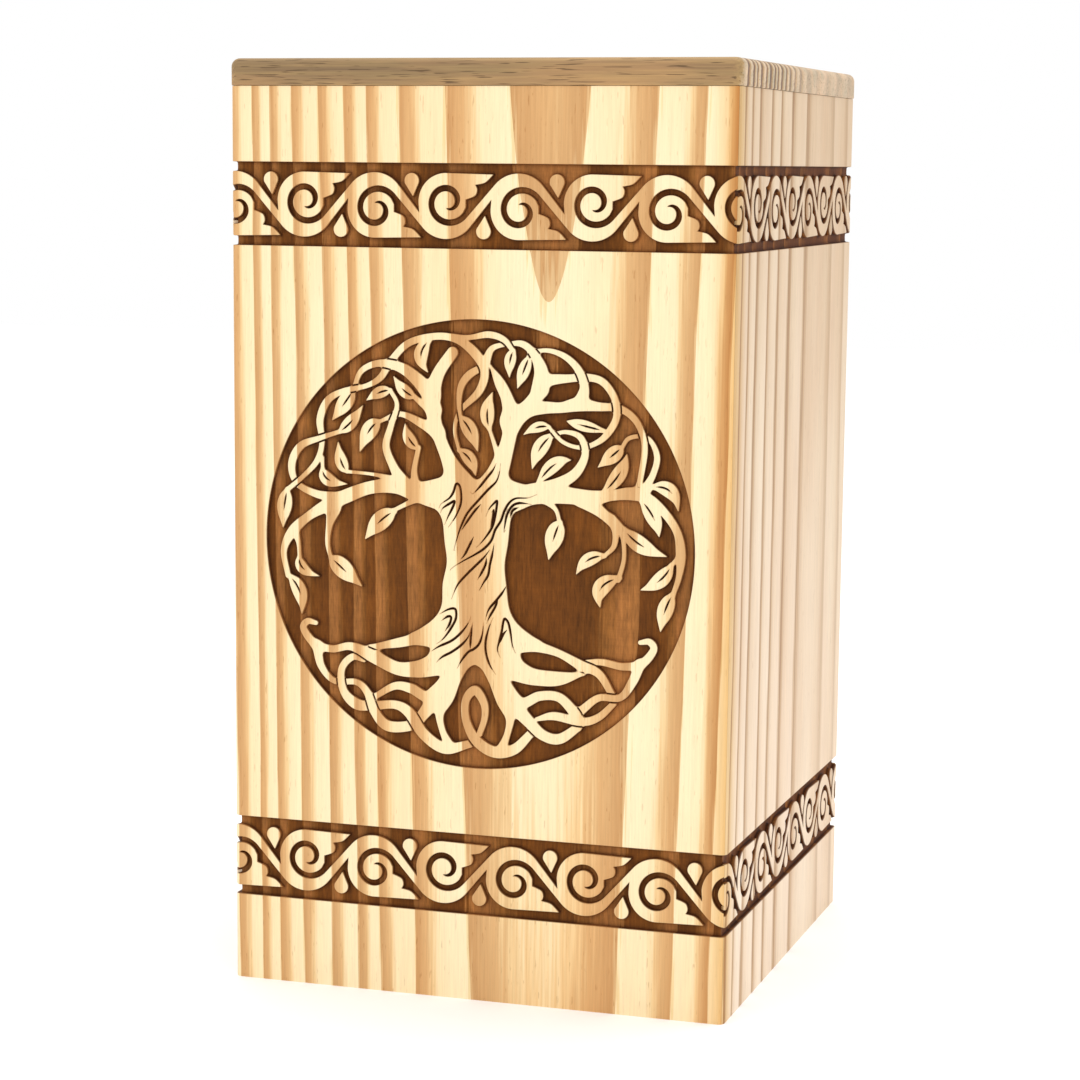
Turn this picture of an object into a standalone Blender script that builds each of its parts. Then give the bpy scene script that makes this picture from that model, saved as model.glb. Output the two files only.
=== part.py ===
# Wooden urn box: four mitred boards, a base panel between them and a lift-off lid.
# Two carved scroll bands run round the box, and a round tree panel is sunk in the front.
# Metres, Z up, the front looks along -Y, origin in the middle of the underside.

import math

import bmesh
import bpy
from mathutils import Matrix

# Driving sizes
WIDTH = 0.150
HEIGHT = 0.270
LID_THICKNESS = 0.0075
WALL = 0.010
BASE_THICKNESS = 0.008
GAP = 0.0003

# Edges of the boards and of the lid
CORNER_RADIUS = 0.0015
LID_OVERHANG = 0.0004
LID_CORNER_RADIUS = 0.003
LID_TOP_RADIUS = 0.0022
PLUG_DEPTH = 0.006
PLUG_CLEARANCE = 0.0004

# Carving
RECESS = 0.0015
BAND_HEIGHT = 0.0238
BAND_FROM_TOP = 0.0332
BAND_FROM_BOTTOM = 0.0373
REPEATS_PER_SIDE = 3.5
FIRST_DROP = 0.0124
MEDALLION_RADIUS = 0.0644
MEDALLION_SIDES = 48
CUT_MARGIN = 0.004
GROOVE_STEPS = 4

wall_height = HEIGHT - LID_THICKNESS - GAP
half_width = WIDTH / 2
upper_band_z = wall_height - BAND_FROM_TOP
lower_band_z = BAND_FROM_BOTTOM
medallion_z = (upper_band_z + lower_band_z) / 2

# The scroll is drawn in millimetres in a band of this height. A crest follows each volute by
# half a repeat, so the middles of the two give the length of the repeat.
DRAWN_BAND = 23.8
VOLUTE_X = 10.24
CREST_X = 31.67
drawn_repeat = 2 * (CREST_X - VOLUTE_X)
# The tree is drawn in millimetres in a circle of this radius, from the circle's middle
DRAWN_RADIUS = 64.4

# Branches and roots: each is a run of (x, z, width)
BRANCHES = {
    "trunk": [(0.3, 16, 24), (0.3, 8, 20), (0.3, 0, 19.3), (0.1, -5.5, 17.2), (0, -11, 19.4),
              (0, -18, 20.6), (0, -23, 27), (0, -27, 36), (0, -32, 28), (0, -34, 12)],
    "crown_left": [(-1, 12, 11), (-5.5, 19, 7), (-8.6, 25, 4.2), (-11.2, 31, 3.7), (-12.9, 37, 4.2),
                   (-13.2, 43, 4.6), (-11.4, 49, 3.6), (-6.3, 56, 3.2)],
    "crown_right": [(2, 12, 11), (5.5, 19, 7), (8, 25.5, 5), (9.7, 31.5, 4.2), (10.4, 37, 5),
                    (9, 42.5, 3.6), (6.8, 46.8, 3), (4.2, 51.2, 0.6)],
    "fork_right": [(10, 36, 6), (15, 39.3, 4.4), (20, 40.2, 3.5), (25, 40.4, 3), (30, 41.4, 3.8),
                   (36, 41, 2.5), (42, 40.7, 2), (46.4, 37.9, 1.9), (48.8, 33.5, 1.7),
                   (49.4, 28.5, 1.8), (48.1, 20, 1.6)],
    "fork_upper": [(15, 40, 4), (18.5, 44.5, 3.6), (20.5, 47.6, 3.4), (27, 48.6, 2.3),
                   (33.5, 49, 2.1), (37.5, 47.6, 2.1), (40.6, 43.3, 2), (41.2, 38.5, 2),
                   (39.2, 34.3, 2), (36, 31.2, 1.6), (31, 29.4, 1.2), (25.6, 30.8, 1.1),
                   (21.3, 35, 0.9)],
    "arch_right": [(15.4, 54.6, 0.9), (18.6, 56.1, 1.1), (22.5, 56, 1.4), (26.6, 54.3, 1.8),
                   (30, 51, 2.2), (31.7, 46.5, 2.6), (31, 42.5, 4)],
    "loop_right": [(2.6, 52.5, 2.6), (4.6, 56.4, 1.7), (9.3, 57.7, 1.2), (13.5, 57.8, 1.9),
                   (16.8, 55.2, 2.4), (19, 50.5, 4), (18.8, 45.5, 5)],
    "top_right": [(-7, 59.3, 1.2), (-2, 59.3, 1.4), (3.5, 60.2, 1.9), (8, 58.9, 1.7), (10.9, 55.5, 1.2)],
    "inner_loop": [(-4.8, 36.3, 0.9), (-5.3, 41, 1.4), (-4.6, 45.6, 2), (-2.2, 48.8, 2.2), (1.6, 51, 1.8)],
    "top_left": [(-57.8, 13.8, 1.4), (-53, 17.8, 1.3), (-48.6, 22.5, 1.7), (-47, 28, 1.6),
                 (-47.6, 34.5, 2.2), (-45.3, 40, 2.1), (-40.5, 42.9, 1.6), (-33.5, 44.6, 1.4),
                 (-29, 47.2, 1.9), (-25.8, 52, 2), (-20.5, 57.2, 2), (-12.5, 59.3, 2),
                 (-6, 58.6, 2.2), (-0.7, 55, 2.8), (2.3, 50, 2.5), (0.7, 44.2, 2.2), (-5, 38.3, 1.3),
                 (-6.5, 33, 1), (-5.2, 27.2, 1)],
    "shoulder_left": [(-13.6, 42.5, 5), (-18, 47, 3.8), (-23, 50.2, 2.9), (-29.5, 51.2, 2),
                      (-35, 48.7, 1.6), (-37.4, 42.8, 1.1)],
    "limb_left": [(-6, 16, 9), (-16, 14.7, 6.4), (-24, 16.3, 4.6), (-32, 15.5, 3.7), (-39, 12.9, 4),
                  (-45, 10, 3.8), (-51, 6.5, 2.6), (-56.2, 1.8, 3), (-59, -4, 1.9), (-57.7, -11.3, 1.6)],
    "limb_left_upper": [(-42, 12.2, 3), (-49, 13, 2.2), (-55, 16, 1.8), (-56.4, 21.5, 2.3),
                        (-53.6, 26.7, 2.2), (-47.5, 29.2, 1.5), (-41.4, 31.3, 1.2)],
    "limb_left_inner": [(-55.5, 2, 2.5), (-54.4, -1.7, 1.3), (-54.1, -5.6, 1.1)],
    "twig_left_long": [(-43, 8, 3), (-44.9, 3, 1.4), (-45.1, -2, 1.1), (-44, -6.5, 1.1)],
    "twig_left_short": [(-17, 13.2, 2), (-21.5, 11, 1.3), (-25, 9.2, 1.1)],
    "twig_crown_wave": [(-22.3, 17.5, 4), (-25, 21.7, 2.6), (-27.3, 27.5, 2.2), (-25.8, 33.5, 1.8),
                        (-24, 39.5, 1.3), (-26, 43.6, 1.2)],
    "twig_crown_low": [(-11.5, 32, 4), (-16.5, 34.5, 2.6), (-23, 36.9, 1.5), (-29.3, 34.6, 1)],
    "twig_crown_high": [(-12.5, 38.5, 4), (-16, 39.9, 2), (-19, 42.2, 1.3)],
    "twig_crown_stem": [(-18.2, 16, 3), (-18.7, 21, 1.7), (-17.4, 27.6, 1.3)],
    "twig_limb_flat": [(-24, 18, 2), (-31, 19.3, 1), (-39.3, 19.8, 1)],
    "twig_top_left": [(-46.9, 23.5, 1.1), (-46.8, 20, 1)],
    "twig_heart": [(7, 24, 1.8), (5.6, 28.7, 1.3), (3.8, 33.8, 0.9)],
    "limb_right": [(6, 16, 9), (14, 15.4, 6), (21, 16, 5.6), (28, 15.7, 4.7), (34, 15.3, 4.4),
                   (40, 16.3, 3), (46, 17, 3.6), (51.3, 15.6, 2.8), (56, 11.5, 2.4), (59.3, 6.5, 2.3),
                   (60.3, 0.5, 2.8), (59.9, -5.5, 1.7), (58.2, -11, 1.3)],
    "curl_right": [(17, 16.5, 4), (24.5, 19, 3.4), (29.6, 22.3, 2.8), (32.2, 27.5, 2.1),
                   (30.8, 32.2, 1.8), (26.5, 33.6, 1.2), (22.4, 32.6, 1)],
    "twig_right_long": [(31.5, 14.5, 4), (37, 11.5, 3.2), (40.9, 7.5, 2.1), (41, 2.3, 1.5), (38, -1, 1)],
    "twig_right_middle": [(39.3, 10, 2.6), (43, 6.2, 1.5), (43.9, -1, 1.2), (42.3, -7.5, 1.4)],
    "twig_right_outer": [(40.3, 9.8, 2.2), (44.3, 6.4, 1.2)],
    "twig_right_leaf": [(20.8, 14, 2), (23.8, 11.5, 1.2), (25, 7.6, 1.1)],
    "twig_hook": [(42.6, 29.4, 1), (45, 32.6, 1.2), (50.2, 32.8, 1.2), (53, 28, 1.7), (52, 22.8, 1.8),
                  (49.2, 17.8, 2.4)],
    "twig_edge_high": [(50, 17.5, 2), (52, 19.4, 0.9)],
    "twig_edge_low": [(60, 0, 1.5), (57.4, -2.7, 1)],
    "leg_left": [(-5.5, -32, 9), (-6.8, -38, 5.4), (-9.2, -43.5, 6), (-10.7, -49, 2.7),
                 (-9.8, -54, 1.9), (-7.5, -58.6, 3)],
    "leg_right": [(5.5, -32, 9), (6.9, -38, 5.6), (9.4, -43.5, 6), (10.7, -49, 2.7),
                  (9.8, -54, 1.9), (8, -58.6, 3)],
    "root_left_upper": [(-11, -26, 8), (-18, -28.2, 3.6), (-24, -29.3, 2.7), (-31.8, -30.9, 1.3)],
    "root_left": [(-11, -31, 9), (-18, -36.5, 4.8), (-24, -36.6, 3.9), (-31, -33.7, 3.8),
                  (-38, -31.1, 2.4), (-44, -32.2, 2.1), (-49.5, -30.8, 2.5), (-52.9, -26.7, 2.1),
                  (-51.7, -24.5, 1.9), (-49, -24.8, 1.3)],
    "root_left_outer": [(-48.7, -31.5, 3), (-47.3, -37.5, 2.2), (-43.2, -41.6, 1.7), (-36.5, -41.5, 1.8),
                        (-33, -44.3, 2.3), (-30.6, -50, 2.8), (-26.5, -53.8, 3.2), (-19, -53, 3),
                        (-15.7, -49.6, 3.4), (-11.5, -44, 5)],
    "root_left_loop": [(-34, -35, 1), (-37.7, -34.2, 2), (-41, -38, 2.1), (-40.4, -44.2, 2.4),
                       (-36.5, -47.9, 3.3), (-31.5, -48.2, 2.6), (-24.5, -47.4, 2.5), (-20, -49.5, 3.2),
                       (-15.5, -55.5, 3.3), (-9, -59.2, 3.2), (-1.5, -57.4, 2.2)],
    "root_left_inner": [(-9, -41, 5), (-14.5, -44.3, 3.2), (-19.5, -42.3, 2.9), (-24.5, -41.9, 2.2),
                        (-30.5, -45.3, 1.6)],
    "root_right_upper": [(11, -26, 8), (18, -28.1, 3.6), (25, -29.3, 2.2), (31.5, -32.3, 2.8),
                         (37, -34.5, 2.4), (41, -40.3, 1.9)],
    "root_right": [(11, -31, 9), (18, -36.6, 4.8), (25, -36.6, 4), (32.2, -34.9, 0.8)],
    "root_right_outer": [(32.6, -31.4, 1.2), (38, -31.1, 1.9), (44, -32, 2.1), (49.5, -30.8, 2.5),
                         (52.9, -26.7, 2.1), (51.7, -24.5, 1.9), (49, -24.8, 1.3)],
    "root_right_hook": [(49, -31, 3), (46.8, -36.3, 2.6), (43.3, -40.9, 2), (37, -41.4, 2),
                        (32, -45.3, 2.4)],
    "root_right_inner": [(9, -41, 5), (14.2, -44.3, 3.2), (19.5, -42, 2.7), (25.3, -42, 2.7),
                         (29.8, -46, 3), (31.5, -48.5, 2.4)],
    "root_right_low": [(10, -43.5, 5), (16, -49.3, 3.6), (20.5, -53.2, 3.1), (25.5, -54, 3),
                       (31, -50.3, 2.3)],
    "root_right_leaf": [(18.8, -48.7, 1.2), (24, -47.5, 2.4), (32, -48.6, 2.4), (37, -47, 2.1),
                        (41.4, -42.8, 1.7)],
    "root_middle": [(17, -53, 2.3), (12, -58, 3), (6, -59.2, 3.3), (0.5, -56.2, 3.1), (-2.6, -50.5, 2.4),
                    (-2.7, -44.6, 2.3), (0.1, -41.6, 2.7), (2.8, -45.2, 2.3), (3, -49.5, 1.9),
                    (1.5, -54.2, 1.7)],
}

# Leaves: base, belly and tip of the middle line, then the full width
LEAVES = [
    ((-54.1, -5.4), (-53, -9), (-48, -11), 3.4),
    ((-57.4, -11.3), (-54, -16), (-53.4, -22.3), 4.4),
    ((-57.8, 13.9), (-58.8, 8.8), (-59.2, 2.8), 4.6),
    ((-44.1, -5.5), (-40.3, -8.7), (-34.8, -13.2), 5.6),
    ((-24.7, 9), (-29.3, 5.7), (-33.6, 0.6), 5.4),
    ((-46.8, 20.4), (-45, 17.2), (-39.3, 16.2), 3.8),
    ((-37.4, 43.2), (-40.2, 39.2), (-43.8, 34.5), 4.6),
    ((-41.6, 31.2), (-38, 34.2), (-34.5, 38.9), 3.8),
    ((-29.6, 34.5), (-32.6, 31.6), (-35.3, 25.8), 4.8),
    ((-26, 43.6), (-29.5, 42.8), (-33.3, 40.5), 3.4),
    ((-18.6, 42), (-22, 43.8), (-25, 47.6), 3.6),
    ((-17.5, 27.3), (-20.3, 30), (-21.5, 34.2), 3.6),
    ((-39.3, 19.9), (-41.2, 23), (-42, 28.2), 3.8),
    ((-14, 58.4), (-16.8, 53.8), (-14.7, 49.1), 4.2),
    ((-4.8, 36.6), (-1.8, 32.8), (0.4, 27.2), 4.4),
    ((-5.2, 27.3), (-1.8, 24.6), (-0.2, 20.3), 3.8),
    ((3.9, 33.6), (3.2, 38.6), (4.7, 44), 4.2),
    ((10.9, 56), (9.8, 52.8), (9.7, 48.4), 3.4),
    ((15.6, 54.6), (13.8, 50), (12.1, 45.4), 3.6),
    ((38.2, 34.2), (31, 35.7), (26.7, 36.7), 3.2),
    ((42.7, 29.8), (40, 27.4), (36, 24.1), 4.4),
    ((37.4, 16.8), (42.3, 22.6), (44.3, 28), 4.2),
    ((25, 8), (23.3, 3.6), (21.8, -2.6), 5.4),
    ((38.3, -0.8), (33.3, -2.3), (30, -6.4), 3.8),
    ((51.6, 19.1), (57, 18.2), (59.4, 12.8), 4.2),
    ((48.5, 15.5), (52.3, 10.6), (54, 5.4), 4.4),
    ((57.7, -2.4), (54.3, -7), (48.9, -9.9), 4.4),
    ((58.3, -10.5), (56, -15.5), (54.8, -21.3), 4.6),
    ((43.8, 7), (48.8, 2.7), (56.2, -0.1), 4.8),
    ((42.7, -6.8), (37.3, -10), (37.1, -15.4), 4.8),
    ((21.6, 34.8), (18, 34.6), (14, 32.4), 3.0),
    ((22.5, 32.6), (18.8, 28.5), (16.7, 22.9), 4.4),
    ((18.5, 19), (23.2, 24.3), (28, 25.8), 4),
]


def clear_scene():
    for old in list(bpy.data.objects):
        bpy.data.objects.remove(old, do_unlink=True)


def new_collection(name):
    collection = bpy.data.collections.new(name)
    bpy.context.scene.collection.children.link(collection)
    return collection


def srgb(hex_colour):
    channels = [int(hex_colour[i:i + 2], 16) / 255 for i in (1, 3, 5)]
    linear = [c / 12.92 if c <= 0.04045 else ((c + 0.055) / 1.055) ** 2.4 for c in channels]
    return (*linear, 1.0)


def wood(name, hex_colour, roughness=0.55):
    material = bpy.data.materials.new(name)
    material.use_nodes = True
    shader = material.node_tree.nodes["Principled BSDF"]
    shader.inputs["Base Color"].default_value = srgb(hex_colour)
    shader.inputs["Roughness"].default_value = roughness
    shader.inputs["Metallic"].default_value = 0.0
    return material


# A flat outline, with any holes after it, is filled and given a thickness along its local Z.
# The result is a closed mesh that is moved to its place.
def flat_piece(name, outlines, low, high, place=None):
    curve = bpy.data.curves.new(name, "CURVE")
    curve.dimensions = "2D"
    curve.fill_mode = "BOTH"
    curve.extrude = (high - low) / 2
    for outline in outlines:
        spline = curve.splines.new("POLY")
        spline.points.add(len(outline) - 1)
        for point, (x, y) in zip(spline.points, outline):
            point.co = (x, y, 0, 1)
        spline.use_cyclic_u = True
    holder = bpy.data.objects.new(name + "_outline", curve)
    bpy.context.scene.collection.objects.link(holder)
    depsgraph = bpy.context.evaluated_depsgraph_get()
    mesh = bpy.data.meshes.new_from_object(holder.evaluated_get(depsgraph))
    mesh.name = name
    bpy.data.objects.remove(holder, do_unlink=True)
    lift = Matrix.Translation((0, 0, (high + low) / 2))
    mesh.transform(place @ lift if place else lift)
    body = bmesh.new()
    body.from_mesh(mesh)
    bmesh.ops.remove_doubles(body, verts=body.verts, dist=0.000002)
    bmesh.ops.recalc_face_normals(body, faces=body.faces)
    body.to_mesh(mesh)
    body.free()
    return mesh


def add_object(name, mesh, collection, material=None):
    piece = bpy.data.objects.new(name, mesh)
    collection.objects.link(piece)
    if material:
        mesh.materials.clear()
        mesh.materials.append(material)
    return piece


def add_cutter(name, mesh, collection):
    cutter = add_object(name, mesh, collection)
    cutter.hide_render = True
    cutter.display_type = "WIRE"
    return cutter


def cut(piece, name, cutter=None, collection=None, operation="DIFFERENCE"):
    modifier = piece.modifiers.new(name, "BOOLEAN")
    modifier.operation = operation
    modifier.solver = "EXACT"
    if collection:
        modifier.operand_type = "COLLECTION"
        modifier.collection = collection
    else:
        modifier.object = cutter


def finished_mesh(piece, name):
    depsgraph = bpy.context.evaluated_depsgraph_get()
    mesh = bpy.data.meshes.new_from_object(piece.evaluated_get(depsgraph))
    mesh.name = name
    mesh.shade_flat()
    return mesh


def arc(centre, radius, start, end, count):
    angles = [math.radians(start + (end - start) * i / (count - 1)) for i in range(count)]
    return [(centre[0] + radius * math.cos(a), centre[1] + radius * math.sin(a)) for a in angles]


# The groove that winds into a volute: down one side to its end and back along the other
def volute_groove(centre, inner_radius, growth, start, end, width, steps):
    inner = []
    outer = []
    for i in range(steps):
        share = i / steps
        angle = math.radians(end + (start - end) * share)
        radius = inner_radius + growth * angle
        half = width / 2 * min(1.0, (1.0 - share) * 3.5)
        inner.append((centre[0] + (radius - half) * math.cos(angle),
                      centre[1] + (radius - half) * math.sin(angle)))
        outer.append((centre[0] + (radius + half) * math.cos(angle),
                      centre[1] + (radius + half) * math.sin(angle)))
    angle = math.radians(start)
    radius = inner_radius + growth * angle
    tip = (centre[0] + radius * math.cos(angle), centre[1] + radius * math.sin(angle))
    return inner + [tip] + outer[::-1]


# Upper edge of the scroll over one repeat, from the notch left of a volute: up round the
# volute, out to the leaf tip, back under its lobes, through the groove and over the next crest
def scroll_edge():
    notch = [(2.3, -1.9)]
    body = arc((VOLUTE_X, 1.0), 8.3, 172, 95, 3)
    leaf = [(24.2, 8.85), (18.8, 5.4), (16.1, 1.85)]
    groove = volute_groove((VOLUTE_X + 0.5, 1.12), 2.92, 0.612, -105, 240, 1.8, GROOVE_STEPS)
    crest = arc((CREST_X, 0), 9.5, 138, 42, 3)
    return notch + body + leaf + groove + crest


def drop_outline():
    return arc((0, 6.95), 2.25, 0, 180, 3) + [(0.4, 2.6)]


# The sunk ground above (side 1) and below (side -1) the scroll, with the drops left standing.
# The lower edge is the upper one turned over and moved on by half a repeat.
def band_ground(side):
    repeat = WIDTH / REPEATS_PER_SIDE
    across = repeat / drawn_repeat
    up = BAND_HEIGHT / DRAWN_BAND
    shift = 0.0 if side > 0 else drawn_repeat / 2
    edge = []
    drops = []
    for k in range(-2, int(REPEATS_PER_SIDE) + 1):
        start = FIRST_DROP - half_width + k * repeat

        def placed(points):
            return [(start + (x + shift) * across, side * y * up) for x, y in points]

        edge += placed(scroll_edge())
        drops.append(placed(drop_outline()))
    reach = half_width + CUT_MARGIN
    rim = side * BAND_HEIGHT / 2
    lead = edge[0][0] - repeat / 4
    outer = [(lead, rim), (lead, edge[0][1])] + edge + [(edge[-1][0], rim)]
    drops = [d for d in drops if abs(d[-1][0]) < reach]
    return [outer] + drops


# Both edges of a branch, at right angles to its run, half its width to each side. An end
# without width is a single point.
def branch_outline(points):
    scale = MEDALLION_RADIUS / DRAWN_RADIUS
    left = []
    right = []
    for i, (x, z, width) in enumerate(points):
        before = points[max(i - 1, 0)]
        after = points[min(i + 1, len(points) - 1)]
        along = (after[0] - before[0], after[1] - before[1])
        length = math.hypot(*along)
        side = (-along[1] / length * width / 2, along[0] / length * width / 2)
        left.append(((x + side[0]) * scale, (z + side[1]) * scale))
        right.append(((x - side[0]) * scale, (z - side[1]) * scale))
    if points[-1][2] == 0:
        right.pop()
    return left + right[::-1]


# A leaf is a short branch that swells from its base and runs out to a point
def leaf_outline(base, belly, tip, width):
    profile = ((0.0, 0.3), (0.42, 1.0), (1.0, 0.0))
    points = []
    for share, fullness in profile:
        pull = 2 * share * (1 - share)
        x = (1 - share) ** 2 * base[0] + share ** 2 * tip[0]
        z = (1 - share) ** 2 * base[1] + share ** 2 * tip[1]
        x += pull * (2 * belly[0] - (base[0] + tip[0]) / 2)
        z += pull * (2 * belly[1] - (base[1] + tip[1]) / 2)
        points.append((x, z, width * fullness))
    return branch_outline(points)


# A drawing made in X and Y is stood up so that it faces along -Y
def on_face(z):
    return Matrix.Translation((0, 0, z)) @ Matrix.Rotation(math.pi / 2, 4, "X")


# The scroll stops just short of each mitre, where the sunk ground would end under it
def band_end(side):
    inner = side * (half_width - RECESS - 2 * GAP)
    outer = side * (half_width + CUT_MARGIN)
    rim = BAND_HEIGHT / 2
    return [(inner, -rim), (outer, -rim), (outer, rim), (inner, rim)]


def make_band_cutters(collection):
    face = half_width
    for name, z in (("upper", upper_band_z), ("lower", lower_band_z)):
        for side in (1, -1):
            shapes = (("ground", band_ground(side)), ("end", [band_end(side)]))
            for shape, outlines in shapes:
                mesh = flat_piece(f"{name}_band_{shape}_{side}", outlines,
                                  face - RECESS, face + CUT_MARGIN, on_face(z))
                add_cutter(mesh.name, mesh, collection)


# The sunk disc of the front, with the tree taken out of it so that it is left standing
def make_medallion_cutter(tree, cutters):
    face = half_width
    place = on_face(medallion_z)
    for i, (name, points) in enumerate(BRANCHES.items()):
        extra = CUT_MARGIN * (1.5 + 0.01 * i)
        mesh = flat_piece(name, [branch_outline(points)], face - extra, face + extra, place)
        add_cutter("tree_" + name, mesh, tree)
    for i, leaf in enumerate(LEAVES):
        extra = CUT_MARGIN * (2.2 + 0.01 * i)
        mesh = flat_piece(f"leaf_{i}", [leaf_outline(*leaf)], face - extra, face + extra, place)
        add_cutter(f"tree_leaf_{i}", mesh, tree)
    depth = RECESS + CUT_MARGIN
    bpy.ops.mesh.primitive_cylinder_add(vertices=MEDALLION_SIDES, radius=MEDALLION_RADIUS, depth=depth)
    disc = bpy.context.object
    disc.name = "medallion_ground"
    disc.data.transform(Matrix.Translation((0, -face + RECESS - depth / 2, medallion_z))
                        @ Matrix.Rotation(math.pi / 2, 4, "X"))
    for holder in list(disc.users_collection):
        holder.objects.unlink(disc)
    cutters.objects.link(disc)
    disc.hide_render = True
    disc.display_type = "WIRE"
    cut(disc, "tree", collection=tree)
    return disc


# Plan of one board: outer face, the outer corners' rounding up to the mitre, inner face
def board_plan():
    lean = math.degrees(math.asin(GAP / 2 / CORNER_RADIUS))
    corner = half_width - CORNER_RADIUS
    right = arc((corner, -corner), CORNER_RADIUS, -90, -45 - lean, 2)
    inner = half_width - WALL - GAP / math.sqrt(2)
    right.append((inner, -half_width + WALL))
    return right + [(-x, y) for x, y in reversed(right)]


# A board with both bands cut, and with the front's sunk disc where one is given
def carved_mesh(name, parts, band_cutters, medallion=None):
    blank = add_object("blank", flat_piece("blank", [board_plan()], 0, wall_height), parts)
    cut(blank, "bands", collection=band_cutters)
    if medallion:
        cut(blank, "medallion", cutter=medallion)
    mesh = finished_mesh(blank, name)
    bpy.data.objects.remove(blank, do_unlink=True)
    return mesh


def make_boards(parts, band_cutters, medallion):
    front = carved_mesh("front", parts, band_cutters, medallion)
    side = carved_mesh("side", parts, band_cutters)
    boards = (("front_board", front, 0, "#F3DDB1"), ("right_board", side, 90, "#EAD2B4"),
              ("back_board", side.copy(), 180, "#EFD8AE"), ("left_board", side.copy(), 270, "#EFD6AC"))
    for name, mesh, turn, colour in boards:
        board = add_object(name, mesh, parts, wood(name + "_pine", colour))
        board.rotation_euler = (0, 0, math.radians(turn))


def add_box(name, size, low, collection):
    bpy.ops.mesh.primitive_cube_add(size=1)
    box = bpy.context.object
    box.name = name
    box.data.transform(Matrix.Translation((0, 0, low + size[2] / 2)) @ Matrix.Diagonal((*size, 1)))
    for holder in list(box.users_collection):
        holder.objects.unlink(box)
    collection.objects.link(box)
    return box


def make_base(parts):
    across = WIDTH - 2 * WALL - 2 * GAP
    base = add_box("base_panel", (across, across, BASE_THICKNESS), 0, parts)
    base.data.materials.append(wood("base_pine", "#E2C799"))


# The lid rests on the walls, and the plug under it drops between them
def make_lid(parts, cutters):
    across = WIDTH + 2 * LID_OVERHANG
    low = wall_height + GAP
    lid = add_box("lid", (across, across, LID_THICKNESS), low, parts)
    lid.data.materials.append(wood("lid_pine", "#B79E78", 0.6))
    body = bmesh.new()
    body.from_mesh(lid.data)
    uprights = [e for e in body.edges if abs(e.verts[0].co.z - e.verts[1].co.z) > LID_THICKNESS / 2]
    bmesh.ops.bevel(body, geom=uprights, offset=LID_CORNER_RADIUS, segments=3, profile=0.5, affect="EDGES")
    top = low + LID_THICKNESS
    rim = [e for e in body.edges if min(v.co.z for v in e.verts) > top - GAP]
    bmesh.ops.bevel(body, geom=rim, offset=LID_TOP_RADIUS, segments=3, profile=0.5, affect="EDGES")
    body.to_mesh(lid.data)
    body.free()
    plug_across = WIDTH - 2 * WALL - 2 * PLUG_CLEARANCE
    plug = add_box("lid_plug", (plug_across, plug_across, PLUG_DEPTH + LID_THICKNESS / 2),
                   low - PLUG_DEPTH, cutters)
    plug.hide_render = True
    plug.display_type = "WIRE"
    cut(lid, "plug", cutter=plug, operation="UNION")


def build():
    clear_scene()
    parts = new_collection("urn_box")
    cutters = new_collection("cutters")
    band_cutters = new_collection("band_cutters")
    tree = new_collection("tree_cutters")
    make_band_cutters(band_cutters)
    medallion = make_medallion_cutter(tree, cutters)
    make_boards(parts, band_cutters, medallion)
    make_base(parts)
    make_lid(parts, cutters)


build()
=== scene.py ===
# A tall pine urn box: four carved walls, a base set in between them, and a lid that lifts off.
# Drawing is done in millimetres, and a mesh turns to metres when it is built.

import math

import bmesh
import bpy
import numpy as np
from mathutils import Matrix, Vector, geometry


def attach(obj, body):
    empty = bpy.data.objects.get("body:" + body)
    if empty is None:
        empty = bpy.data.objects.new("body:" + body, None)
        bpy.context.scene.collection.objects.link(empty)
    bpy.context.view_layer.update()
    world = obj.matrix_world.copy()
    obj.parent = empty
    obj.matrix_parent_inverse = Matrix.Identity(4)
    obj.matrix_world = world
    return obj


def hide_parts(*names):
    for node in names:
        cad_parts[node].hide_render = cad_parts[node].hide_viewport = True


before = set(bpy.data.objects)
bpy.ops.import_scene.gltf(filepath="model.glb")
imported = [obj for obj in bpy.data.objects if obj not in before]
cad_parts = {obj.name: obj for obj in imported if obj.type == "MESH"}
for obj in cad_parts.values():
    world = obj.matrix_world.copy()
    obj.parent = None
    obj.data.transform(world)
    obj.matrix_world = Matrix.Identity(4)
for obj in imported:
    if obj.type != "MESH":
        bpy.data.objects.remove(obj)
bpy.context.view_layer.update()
mm = 0.001

walls = {
    "width": 150.0, "height": 262.2, "thick": 10.0,
    "cornerRadius": 1.8, "cornerSteps": 5, "mitreGap": 0.06,
    "recess": 1.5,
    "bandHeight": 23.8, "bandMargin": 1.0, "lowerBand": 37.3, "upperBand": 229.0,
    "repeats": 3.5, "firstDrop": 12.4, "weld": 0.004,
}
halfWidth = walls["width"] / 2
repeat = walls["width"] / walls["repeats"]
treeMiddle = (walls["lowerBand"] + walls["upperBand"]) / 2
sharpAngle = math.radians(28)
# the value of a distance field far from everything drawn, and the spacing of its grid
farOff = 50.0
gridStep = 0.15


# Every carved shape is first a grid of distances in millimetres, below zero in standing wood and
# above zero over the sunk ground.
def makeGrid(left, right, low, high):
    across = round((right - left) / gridStep)
    up = round((high - low) / gridStep)
    xs = np.linspace(left, right, across + 1)
    ys = np.linspace(low, high, up + 1)
    return {"xs": xs, "ys": ys, "dx": xs[1] - xs[0], "dy": ys[1] - ys[0],
            "values": np.full((len(ys), len(xs)), farOff)}


def window(grid, left, right, low, high):
    i0 = max(int((low - grid["ys"][0]) / grid["dy"]), 0)
    i1 = min(int((high - grid["ys"][0]) / grid["dy"]) + 2, len(grid["ys"]))
    j0 = max(int((left - grid["xs"][0]) / grid["dx"]), 0)
    j1 = min(int((right - grid["xs"][0]) / grid["dx"]) + 2, len(grid["xs"]))
    return slice(i0, i1), slice(j0, j1)


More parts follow.
